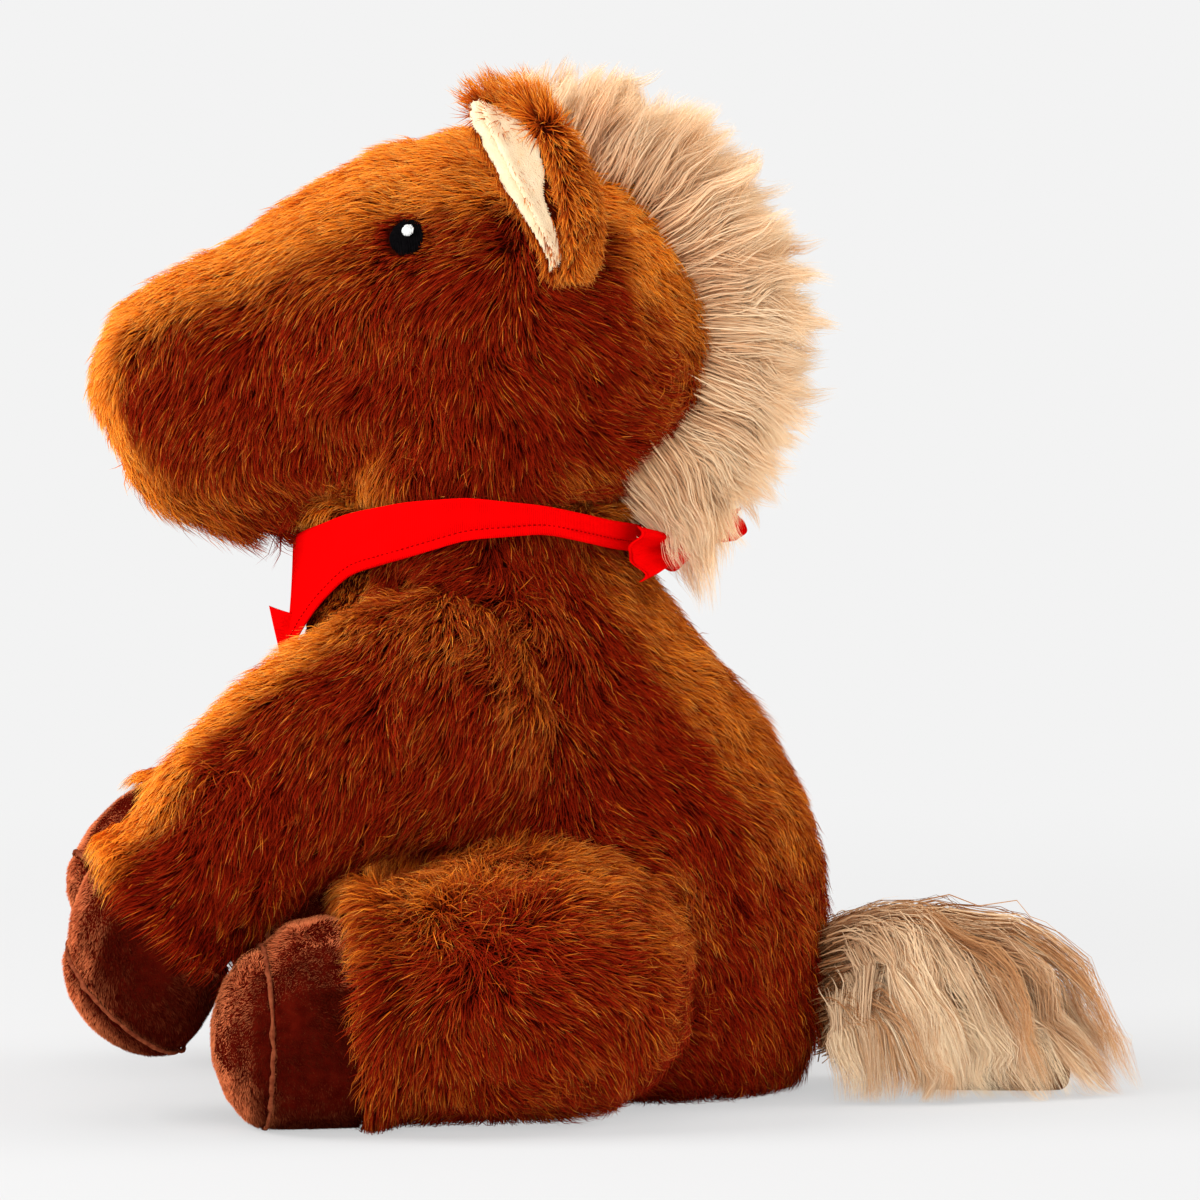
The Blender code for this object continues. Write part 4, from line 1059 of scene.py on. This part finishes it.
def build_ear(side, seed):
    """The cream side starts at the ear's front edge and is widest above; brown pile covers the rest."""
    body = f"{side}_ear"
    back = fused((f"{side}_ear_back",), 0.0009, 8)
    lining = fused((f"{side}_ear_lining",), 0.0006, 6)
    low, high = back.low, back.high
    levels = np.linspace(low[2], high[2], 24)
    band = (levels[1] - levels[0]) * 1.2
    fronts = [back.points[np.abs(back.points[:, 2] - level) < band, 1].min() for level in levels]
    inner = [back.points[np.abs(back.points[:, 2] - level) < band, 0].mean() for level in levels]
    shares = np.array(EAR_CREAM_SHARES)

    def cream(points):
        height = (points[:, 2] - low[2]) / (high[2] - low[2])
        width = np.interp(height, shares[:, 0], shares[:, 1]) * EAR_CREAM_WIDTH
        outside = (points[:, 0] - np.interp(points[:, 2], levels, inner)) * SIDES[side] > -0.0008
        return outside & (points[:, 1] - np.interp(points[:, 2], levels, fronts) < width)

    def brown(points):
        return ~cream(points)

    for part, shape, slot, sink in (("back", back, "fur", 0.0007), ("lining", lining, "cream", 0.0)):
        puff = np.where(cream(shape.points), 0.0003, -sink)
        points = shape.points + shape.normals * puff[:, None]
        data = mesh_from(f"{body}_{part}_cloth", points, shape.triangles)
        piece = add_piece(f"{body}_{part}_cloth", data, CREAM_GROUND, body)
        data.materials.append(UNDERCOAT)
        middles = points[shape.triangles].mean(1)
        data.polygons.foreach_set("material_index", brown(middles).astype(np.int32))
        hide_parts(f"{side}_ear_{part}")
        nap(f"{body}_{part}_nap", shape, *EAR_NAP, CREAM_NAP, body, "cream", seed, cream)
    for part, shape, other, density in (("back", back, lining, 1.8), ("lining", lining, back, 1.4)):
        rng = np.random.default_rng(seed + 1)
        points, normals = scattered(shape, DENSITY * density, rng)
        keep = brown(points) & (depths_in(other.tree, points, 0.002) < 0)
        points, normals = points[keep], normals[keep]
        height = (points[:, 2] - low[2]) / (high[2] - low[2])
        upper = ease(height, 0.72, 1.0)
        flow = np.stack((np.zeros(len(points)), 0.45 - 1.2 * upper, -0.9 + 2.0 * upper), 1)
        flow = flow + 0.4 * noise_vectors(points, 0.008, seed)
        lie = tangent(flow + rng.normal(0, 0.25, flow.shape), normals)
        stand = 0.85 - 0.35 * upper + 0.2 * noise(points, 0.006, seed + 4)
        stand = stand + rng.normal(0, 0.12, len(points))
        stand = np.clip(stand, 0.1, 1.3)
        size = (0.0052 + 0.0036 * upper) * rng.uniform(0.8, 1.15, len(points))
        turns = [stand + 0.22 * k for k in range(3)]
        routes = grown(points - normals * 0.0008, normals, lie, turns, size)
        gather(routes, EAR_LOCK_SIZE, seed, EAR_LOCK_PULL)
        keep = keep_clear(routes, np.ones(len(points), bool), [head])
        tones = 0.5 + 0.25 * upper + 0.15 * noise(points, 0.008, seed + 8)
        tones = tones + rng.normal(0, 0.2, len(points))
        tones = in_range(tones)
        widths = WIDTH * rng.uniform(0.75, 1.2, len(points))
        strands = (routes[keep], widths[keep], tones[keep], normals[keep])
        add_strands(f"{body}_{part}_fur", *strands, rng, FUR, body, "fur")


for n, side in enumerate(SIDES):
    build_ear(side, 501 + 20 * n)

# Hooves: velour with a turned-in seam round the sole


def seam_ring(shape, middle, along, count):
    """Points round the outline of a form's flat side, evenly by angle."""
    aside = np.cross(along, UP)
    aside = aside / np.linalg.norm(aside)
    up = np.cross(aside, along)
    off = shape.points - middle
    flat = np.abs(off @ along) < 0.0003
    off = off[flat]
    turns = np.arctan2(off @ up, off @ aside)
    radii = np.hypot(off @ up, off @ aside)
    order = np.argsort(turns)
    turns, radii = turns[order], radii[order]
    outer = radii > 0.8 * np.median(radii)
    around = np.linspace(-math.pi, math.pi, count, endpoint=False)
    radius = np.interp(around, turns[outer], radii[outer], period=2 * math.pi)[:, None]
    return middle + radius * (aside * np.cos(around)[:, None] + up * np.sin(around)[:, None])


def tube(points, radii, count=8):
    """A closed tube through a loop of points."""
    ahead = unit(np.roll(points, -1, 0) - np.roll(points, 1, 0))
    middle = points.mean(0)
    out = points - middle
    out = unit(out - (out * ahead).sum(1)[:, None] * ahead)
    side = np.cross(ahead, out)
    rows = len(points)
    turns = np.linspace(0, 2 * math.pi, count, endpoint=False)
    rings = points[:, None] + radii[:, None, None] * (
        out[:, None] * np.cos(turns)[None, :, None] + side[:, None] * np.sin(turns)[None, :, None]
    )
    faces = []
    for i in range(rows):
        j = (i + 1) % rows
        for k in range(count):
            m = (k + 1) % count
            faces.append((i * count + k, j * count + k, j * count + m, i * count + m))
    return rings.reshape(-1, 3), np.array(faces)


def ring_faces(base, rings, around):
    """The faces between one ring of points and the next, for rings numbered on from base."""
    faces = []
    for i in range(rings - 1):
        a, b = base + i * around, base + (i + 1) * around
        for k in range(around):
            m = (k + 1) % around
            faces.append((a + k, b + k, b + m, a + m))
    return faces


def build_hoof(side, end, seed):
    body = f"{side}_{end}leg"
    name = f"{side}_{end}hoof"
    along, _ = hoof_start(side, end)
    wall = fused((f"{name}_wall",), 0.0009, 10)
    sole = fused((f"{name}_sole",), 0.0009, 12)
    for part, shape in (("wall", wall), ("sole", sole)):
        puff = 0.00035 * noise(shape.points, 0.012, seed) + 0.00012 * noise(shape.points, 0.0022, seed + 3)
        points = shape.points + shape.normals * puff[:, None]
        points[:, 2] = np.maximum(points[:, 2], FLOOR_CLEARANCE)
        data = mesh_from(f"{name}_{part}", points, shape.triangles)
        piece = add_piece(f"{name}_{part}_cloth", data, HOOF_GROUND, body)
        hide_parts(f"{name}_{part}")
    plain_sole = node_shape(f"{name}_sole")
    axis, middle = flat_side(plain_sole)
    seam_at = middle @ axis
    ring = seam_ring(plain_sole, middle, axis, 200)
    ring += noise_vectors(ring, 0.003, seed + 9) * 0.0002
    radii = 0.00062 + 0.00016 * noise(ring, 0.0016, seed + 12)
    points, faces = tube(ring, radii)
    points[:, 2] = np.maximum(points[:, 2], FLOOR_CLEARANCE)
    lip = add_piece(f"{name}_seam", mesh_from(f"{name}_seam", points, faces), HOOF_SEAM, body)

    def shown(points):
        return points @ along < hoof_start(side, end)[1] - 0.0008

    def outer(points):
        off = points - middle
        across = off - (off @ axis)[:, None] * axis
        return shown(points) & (np.linalg.norm(across, axis=1) > 0.0145)

    def below_seam(points):
        return points @ axis < seam_at - 0.0003

    nap(f"{name}_wall_nap", wall, *HOOF_NAP, NAP, body, "hoof", seed + 20, outer)
    nap(f"{name}_sole_nap", sole, *HOOF_NAP, NAP, body, "hoof", seed + 30, below_seam)


for n, side in enumerate(SIDES):
    for m, end in enumerate(("fore", "hind")):
        build_hoof(side, end, 601 + 100 * n + 50 * m)

# Eyes: satin stitches side by side

# Half the length and half the height of an oval of stitches, how far it rises, and its threads
EYE_OVAL = (0.0044, 0.005, 0.0014, 22)
GLINT_OVAL = (0.0015, 0.0016, 0.0005, 8)


def satin(name, centre, normal, half_long, half_high, rise, threads, material, slot, replaced):
    """An oval on the head filled with upright stitches that arch over it."""
    normal = normal / np.linalg.norm(normal)
    aside = np.cross(UP, normal)
    aside = aside / np.linalg.norm(aside)
    up = np.cross(normal, aside)
    rng = np.random.default_rng(7)
    gap = 2 * half_long / threads
    steps, around = 9, 6
    points, faces = [], []
    for k in range(threads):
        across = -half_long + (k + 0.5) * gap
        chord = half_high * math.sqrt(max(0.02, 1 - (across / half_long) ** 2)) * rng.uniform(0.97, 1.05)
        base = len(points)
        for i in range(steps):
            t = -1 + 2 * i / (steps - 1)
            lift = rise * (1 - 0.75 * t * t) * (1 - 0.45 * (across / half_long) ** 2)
            sway = across + 0.12 * gap * math.sin(3 * t + k)
            middle = centre + aside * sway + up * chord * t + normal * lift
            radius = gap * 0.62 * (1 - 0.35 * t**4)
            for j in range(around):
                turn = 2 * math.pi * j / around
                points.append(middle + aside * radius * math.cos(turn) + normal * radius * math.sin(turn))
        faces += ring_faces(base, steps, around)
    piece = add_piece(name, mesh_from(name, np.array(points), np.array(faces)), material, "head")
    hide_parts(replaced)


def thread_material(name, colour, roughness, specular):
    material, tree, shader = new_material(name, roughness, specular)
    place = tree.nodes.new("ShaderNodeTexCoord").outputs["Object"]
    grain = add_node(tree, "TexNoise", Scale=900, Detail=3, Vector=place)
    low = tuple(0.6 * c for c in colour)
    tones = ramp(tree, ((0.35, low), (0.65, colour)), grain.outputs["Fac"])
    put(tree, shader.inputs["Base Color"], tones)
    return material


BLACK_THREAD = thread_material("black_thread", (0.004, 0.0035, 0.004), 0.45, 0.0)
WHITE_THREAD = thread_material("white_thread", (0.92, 0.92, 0.9), 0.4, 0.1)

for side in SIDES:
    eye = eyes[side]
    glint = node_shape(f"{side}_eye_highlight")
    faces = face_crosses(eye.points, eye.triangles)
    outward = faces[faces[:, 0] * SIDES[side] > 0]
    facing = unit(outward[np.argmax(np.linalg.norm(outward, axis=1))][None])[0]
    centre = (eye.low + eye.high) / 2 - facing * 0.0006
    satin(f"{side}_eye_stitch", centre, facing, *EYE_OVAL, BLACK_THREAD, "thread", f"{side}_eye")
    spot = (glint.low + glint.high) / 2 + facing * 0.0004
    node = f"{side}_eye_highlight"
    satin(f"{side}_glint_stitch", spot, facing, *GLINT_OVAL, WHITE_THREAD, "glint", node)

# Bandana: one knitted cloth, hemmed, folded round the neck and knotted behind

# The knot: how far behind the neck's axis and how high it is, half its sizes, and its ribs
KNOT_BEHIND = 0.0527
KNOT_HEIGHT = 0.145
KNOT_HALF = (0.0085, 0.0056, 0.0072)
KNOT_RIBS = 18

# The free ends from the neck's axis: how far aside the near one runs, and the places of the far one
NEAR_END_ACROSS = (0.004, 0.011, 0.018, 0.025, 0.031)
FAR_END_PLACES = (
    (-0.004, 0.0535, 0.145),
    (-0.01, 0.057, 0.1455),
    (-0.016, 0.063, 0.147),
    (-0.02, 0.0715, 0.1485),
)

# The folded corner: its front tip, its side against the bib and its foot, from the neck's axis
CORNER_PLACES = ((0.004, -0.0525, 0.1285), (0.009, -0.0445, 0.1265), (0.007, -0.0495, 0.1155))


def knit_material():
    """Fine upright ribs from the map's first axis, with painted shade between them, and soft broad
    shading.
    """
    material, tree, shader = new_material("red_knit", 0.9, 0)
    place = tree.nodes.new("ShaderNodeUVMap")
    place.uv_map = "ribs"
    place = place.outputs["UV"]
    wave = add_node(tree, "TexWave", Scale=0.628, Distortion=0.4, Detail=2, Detail_Scale=2, Vector=place)
    wave.wave_type = "BANDS"
    wave.bands_direction = "X"
    broad = add_node(tree, "TexNoise", Scale=0.15, Detail=3, Vector=place)
    # Painted shade: the knit is darker between the ribs
    ribs = ((0.0, (0.55, 0.0006, 0.0008)), (0.55, (0.95, 0.001, 0.0014)))
    shade = ((0.3, (0.78, 0.0008, 0.001)), (0.7, (0.96, 0.0012, 0.0015)))
    ribs = ramp(tree, ribs, wave.outputs["Fac"])
    shade = ramp(tree, shade, broad.outputs["Fac"])
    put(tree, shader.inputs["Base Color"], mixed(tree, ribs, shade, 0.4))
    uneven(tree, shader, wave.outputs["Fac"], 0.5, 0.0002)
    return material


KNIT = knit_material()


def grid_mesh(name, points, ribs, closed_across, closed_along):
    """A mesh from a grid of points, with a map of ribs in millimetres."""
    rows, columns = points.shape[:2]
    faces, maps = [], []
    for i in range(rows if closed_along else rows - 1):
        for k in range(columns if closed_across else columns - 1):
            j, m = (i + 1) % rows, (k + 1) % columns
            faces.append((i * columns + k, j * columns + k, j * columns + m, i * columns + m))
            u0, u1 = ribs[i], ribs[i + 1]
            maps += [(u0, k), (u1, k), (u1, k + 1), (u0, k + 1)]
    if not closed_along:
        for i in (0, rows - 1):
            for k in range(columns // 2 - 1):
                a, b = i * columns + k, (i + 1) * columns - 1 - k
                faces.append((a, a + 1, b - 1, b))
                u = ribs[i]
                maps += [(u, k), (u, k + 1), (u, k + 1), (u, k)]
    data = mesh_from(name, points.reshape(-1, 3), np.array(faces))
    layer = data.uv_layers.new(name="ribs", do_init=False)
    layer.uv.foreach_set("vector", np.array(maps, np.float32).ravel())
    return data


def both_sides(shares):
    """Shares across a cloth on its outer side, then back again on its inner side, each with 1 or -1."""
    return [(share, 1) for share in shares] + [(share, -1) for share in shares[::-1]]


def build_band():
    count = BAND_COLUMNS
    turns = np.linspace(0, 2 * math.pi, count, endpoint=False)
    share = np.abs(((turns / math.pi + 1) % 2) - 1)
    top = NECK_TOP + smoothed(share, BAND_SHARES, 1) * BIB_DROP
    bottom = NECK_TOP + smoothed(share, BAND_SHARES, 2) * BIB_DROP
    out = np.stack((np.sin(turns), -np.cos(turns), np.zeros(count)), 1)
    grid = []
    for i in range(count):
        drop = max(0, (NECK_TOP - bottom[i]) / BIB_DROP)
        flare = BIB_FLARE * drop * drop
        column = []
        high = top[i] - bottom[i]
        for d, face in both_sides(np.linspace(0, 1, BAND_LAYERS)):
            z = top[i] + (bottom[i] - top[i]) * d
            radius = NECK_RADIUS + CLOTH_GAP + flare * d * d
            soft = noise(np.array([(turns[i] * 0.046, d * high * 0.35, 0.1)]), 0.011, 81)[0]
            radius += 0.0006 * soft * min(1, 4 * d * (1 - d) + 0.3)
            hem = math.exp(-(((bottom[i] - top[i]) * (d - 1) * 1000 - 2.6) / 0.35) ** 2)
            radius -= 0.00025 * hem if face > 0 else 0
            thick = CLOTH * min(1, 0.25 + min(d, 1 - d) * high / 0.0007)
            radius += face * thick / 2
            column.append(NECK_AXIS + out[i] * radius + UP * z)
        grid.append(column)
    ribs = np.arange(count + 1) / count * BAND_RIBS
    data = grid_mesh("bandana_cloth", np.array(grid), ribs, True, True)
    cloth = add_piece("bandana_cloth", data, KNIT, "torso")
    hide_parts("bandana")
    return cloth, turns, top, bottom, out


def build_stitches(turns, bottom, out):
    """A line of small stitches above the hem."""
    points, faces = [], []
    count = len(turns)
    for i in range(0, count, 2):
        drop = max(0, (NECK_TOP - bottom[i]) / BIB_DROP)
        radius = NECK_RADIUS + CLOTH_GAP + BIB_FLARE * drop * drop + CLOTH / 2 + 0.00005
        j = (i + 1) % count
        a = NECK_AXIS + out[i] * radius + UP * (bottom[i] + STITCH_HEIGHT)
        b = NECK_AXIS + out[j] * radius + UP * (bottom[j] + STITCH_HEIGHT)
        b = a + (b - a) * 1.15
        along = (b - a) / np.linalg.norm(b - a)
        normal = out[i]
        aside = np.cross(along, normal)
        base = len(points)
        for t, size in ((0, 0.4), (0.25, 1), (0.75, 1), (1, 0.4)):
            middle = a + (b - a) * t + normal * 0.00012 * size
            for k in range(6):
                turn = 2 * math.pi * k / 6
                way = aside * math.cos(turn) + normal * math.sin(turn)
                points.append(middle + STITCH_RADIUS * size * way)
        faces += ring_faces(base, 4, 6)
    thread = thread_material("red_thread", (0.4, 0.0006, 0.0008), 0.6, 0.0)
    data = mesh_from("bandana_stitches", np.array(points), np.array(faces))
    piece = add_piece("bandana_stitches", data, thread, "torso")
    return piece


def cloth_end(name, route, heights, ruffle, seed):
    """A free end of the cloth: upright, gathered at the knot and opening out in soft folds."""
    along_count, across_count = 34, 30
    route = np.array(route)
    knots = np.linspace(0, 1, len(route))
    t = np.linspace(0, 1, along_count)
    line = np.stack([np.interp(t, knots, route[:, k]) for k in range(3)], 1)
    line[1:-1] = (line[:-2] + 2 * line[1:-1] + line[2:]) / 4
    size = np.interp(t, np.linspace(0, 1, len(heights)), heights)
    ahead = unit(np.gradient(line, axis=0))
    flat = ahead.copy()
    flat[:, 2] = 0
    aside = unit(np.cross(unit(flat), UP))
    grid = []
    for i in range(along_count):
        column = []
        for v, face in both_sides(np.linspace(-1, 1, across_count)):
            fold = math.sin(4.2 * v + 1.3 * t[i] + seed) * 0.75
            fold += math.sin(8.3 * v - 2 * t[i] + seed) * 0.3
            middle = line[i] + UP * v * size[i] / 2 + aside[i] * fold * ruffle * (0.35 + 0.65 * t[i])
            middle = middle + ahead[i] * 0.0012 * math.sin(3 * v + seed) * t[i]
            thick = 0.00055 if abs(v) < 0.95 else 0.0003
            column.append(middle + aside[i] * (face * thick))
        grid.append(column)
    data = grid_mesh(name, np.array(grid), ribs_along(line), True, False)
    piece = add_piece(name, data, KNIT, "torso")
    return piece


def ribs_along(line):
    """Places of the ribs along a line, in millimetres."""
    lengths = np.linalg.norm(np.diff(line, axis=0), axis=1)
    return np.concatenate(((0,), np.cumsum(lengths), (lengths.sum(),))) * 1000


def build_knot():
    """The knot: a wrapped lump with folds that run round it."""
    centre = NECK_AXIS + (0, KNOT_BEHIND, KNOT_HEIGHT)
    half_wide, half_deep, half_high = KNOT_HALF
    rows, columns = 40, 36
    grid = []
    for i in range(rows):
        u = -1 + 2 * (i + 0.5) / rows
        column = []
        for k in range(columns):
            turn = 2 * math.pi * k / columns
            fold = 1 + 0.09 * math.sin(2 * turn + 5 * u) + 0.05 * math.sin(5 * turn - 7 * u)
            size = (1 - u**4) ** 0.5 * fold
            y = half_deep * size * math.cos(turn)
            z = half_high * size * math.sin(turn)
            column.append(centre + (half_wide * u, y, z))
        grid.append(column)
    ribs = np.linspace(0, KNOT_RIBS, rows + 1)
    knot = add_piece("knot_wrap", grid_mesh("knot_wrap", np.array(grid), ribs, True, False), KNIT, "torso")
    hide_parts("bandana_knot")
    left = [
        NECK_AXIS + (x, math.sqrt(KNOT_BEHIND**2 - x**2) + 0.0008, KNOT_HEIGHT - 0.001)
        for x in NEAR_END_ACROSS
    ]
    right = [NECK_AXIS + place for place in FAR_END_PLACES]
    ends = [
        cloth_end("bandana_near_end", left, (0.006, 0.0075, 0.011, 0.0145), 0.0026, 0.4),
        cloth_end("bandana_far_end", right, (0.006, 0.0075, 0.009), 0.0018, 2.1),
    ]
    return knot, ends


def build_corner():
    """The cloth's doubled-over corner, which shows past the front of the bib."""
    rows, columns = 16, 12
    tip, side, foot = (NECK_AXIS + place for place in CORNER_PLACES)
    grid = []
    for i in range(rows):
        t = i / (rows - 1)
        left = tip * (1 - t) + foot * t
        right = side * (1 - t) + (foot + (0, 0.0045, 0.003)) * t
        width = right - left
        column = []
        for v, face in both_sides(np.linspace(0, 1, columns)):
            curl = 0.0016 * math.sin(math.pi * v) * (1 - t) + 0.0006 * math.sin(5 * t + 3 * v)
            middle = left + width * v + np.array((curl, 0, 0))
            column.append(middle + np.array((face * CLOTH / 2, 0, 0)))
        grid.append(column)
    data = grid_mesh("bandana_corner", np.array(grid), np.arange(rows + 1), True, False)
    piece = add_piece("bandana_corner", data, KNIT, "torso")
    return piece


cloth, turns, top, bottom, out = build_band()
stitches = build_stitches(turns, bottom, out)
knot, ends = build_knot()
corner = build_corner()


def cloth_area(piece):
    """Half of the surface of the modelled cloth. It isn't measured on a flat cut."""
    return np.linalg.norm(face_crosses(*mesh_arrays(piece.data)), axis=1).sum() / 4


cloth_area(cloth)
for piece, flat in zip(ends, ((0.03, 0.045), (0.022, 0.03))):
    cloth_area(piece)

# Camera, floor and light

CAMERA_TARGET = Vector((0, 0.0019, 0.1297))
CAMERA_DISTANCE = 2.2
CAMERA_ELEVATION = math.radians(4.5)
CAMERA_LENS = 251.5
BACKGROUND = 0.896
WHITE = (1, 1, 1, 1)
FLOOR_COLOUR = (0.25, 0.25, 0.25, 1)
FLOOR_GLOW = 0.53
FLOOR_UNSEEN = (0.8, 0.8, 0.8, 1)
FLOOR_HALF = 30
FLOOR_FADE = (0.25, 0.75)
WORLD_STRENGTH = 0.4

# Each lamp: its place, what it looks at, its size and its power
LAMPS = {
    "key": ((0.3, -1.6, 1.4), (0, 0, 0.12), 1.2, 40),
    "fill": ((2.0, -0.5, 0.9), (0, 0, 0.12), 1.6, 26),
    "rim": ((-0.2, 1.7, 0.9), (0, 0, 0.12), 1.0, 20),
    "top": ((0.0, -0.2, 1.9), (0, 0, 0.1), 1.2, 8),
}


def make_camera():
    data = bpy.data.cameras.new("camera")
    data.sensor_width = 36
    data.lens = CAMERA_LENS
    data.clip_end = 50
    camera = bpy.data.objects.new("camera", data)
    bpy.context.scene.collection.objects.link(camera)
    back = Vector((math.cos(CAMERA_ELEVATION), 0, math.sin(CAMERA_ELEVATION)))
    camera.location = CAMERA_TARGET + back * CAMERA_DISTANCE
    camera.rotation_mode = "QUATERNION"
    camera.rotation_quaternion = (-back).to_track_quat("-Z", "Y")
    bpy.context.scene.camera = camera


def make_light(name, place, target, size, power):
    data = bpy.data.lights.new(name, "AREA")
    data.shape = "SQUARE"
    data.size = size
    data.energy = power
    light = bpy.data.objects.new(name, data)
    bpy.context.scene.collection.objects.link(light)
    light.location = place
    light.rotation_mode = "QUATERNION"
    light.rotation_quaternion = (Vector(target) - Vector(place)).to_track_quat("-Z", "Y")


def seen_by(tree, *rays):
    """1 for the given kinds of ray, and 0 for all others."""
    path = tree.nodes.new("ShaderNodeLightPath")
    found = path.outputs[rays[0]]
    for ray in rays[1:]:
        either = tree.nodes.new("ShaderNodeMath")
        either.operation = "MAXIMUM"
        tree.links.new(found, either.inputs[0])
        tree.links.new(path.outputs[ray], either.inputs[1])
        found = either.outputs["Value"]
    return found


def blended(tree, first, second, share):
    """A mix of two shaders."""
    node = add_node(tree, "MixShader", Fac=share)
    tree.links.new(first, node.inputs[1])
    tree.links.new(second, node.inputs[2])
    return node.outputs["Shader"]


def make_floor():
    """A floor that takes the toy's shadow near it and fades to the background further out."""
    h = FLOOR_HALF
    points = np.array([(-h, -h, 0), (h, -h, 0), (h, h, 0), (-h, h, 0)], float)
    material = bpy.data.materials.new("floor")
    material.use_nodes = True
    tree = material.node_tree
    tree.nodes.clear()
    out = tree.nodes.new("ShaderNodeOutputMaterial")
    lit = add_node(tree, "BsdfDiffuse", Color=FLOOR_COLOUR)
    own = add_node(tree, "Emission", Color=WHITE, Strength=FLOOR_GLOW)
    far = add_node(tree, "Emission", Color=WHITE, Strength=BACKGROUND)
    both = tree.nodes.new("ShaderNodeAddShader")
    tree.links.new(lit.outputs["BSDF"], both.inputs[0])
    tree.links.new(own.outputs["Emission"], both.inputs[1])
    place = tree.nodes.new("ShaderNodeNewGeometry")
    length = tree.nodes.new("ShaderNodeVectorMath")
    length.operation = "LENGTH"
    tree.links.new(place.outputs["Position"], length.inputs[0])
    near, end = FLOOR_FADE
    away = add_node(tree, "MapRange", From_Min=near, From_Max=end, Value=length.outputs["Value"])
    away.interpolation_type = "SMOOTHSTEP"
    shown = blended(tree, both.outputs["Shader"], far.outputs["Emission"], away.outputs["Result"])
    plain = add_node(tree, "BsdfDiffuse", Color=FLOOR_UNSEEN)
    seen = seen_by(tree, "Is Camera Ray", "Is Glossy Ray")
    final = blended(tree, plain.outputs["BSDF"], shown, seen)
    tree.links.new(final, out.inputs["Surface"])
    floor = add_piece("floor", mesh_from("floor", points, np.array([(0, 1, 2, 3)])), material)


def make_world():
    world = bpy.data.worlds.new("world")
    bpy.context.scene.world = world
    world.use_nodes = True
    tree = world.node_tree
    ground = tree.nodes["Background"]
    ground.inputs["Color"].default_value = WHITE
    ground.inputs["Strength"].default_value = WORLD_STRENGTH
    backdrop = add_node(tree, "Background", Color=WHITE, Strength=BACKGROUND)
    seen = seen_by(tree, "Is Camera Ray", "Is Glossy Ray", "Is Transmission Ray")
    final = blended(tree, ground.outputs["Background"], backdrop.outputs["Background"], seen)
    tree.links.new(final, tree.nodes["World Output"].inputs["Surface"])


make_camera()
make_floor()
make_world()
for name, lamp in LAMPS.items():
    make_light(name, *lamp)
bpy.context.scene.view_settings.view_transform = "Standard"
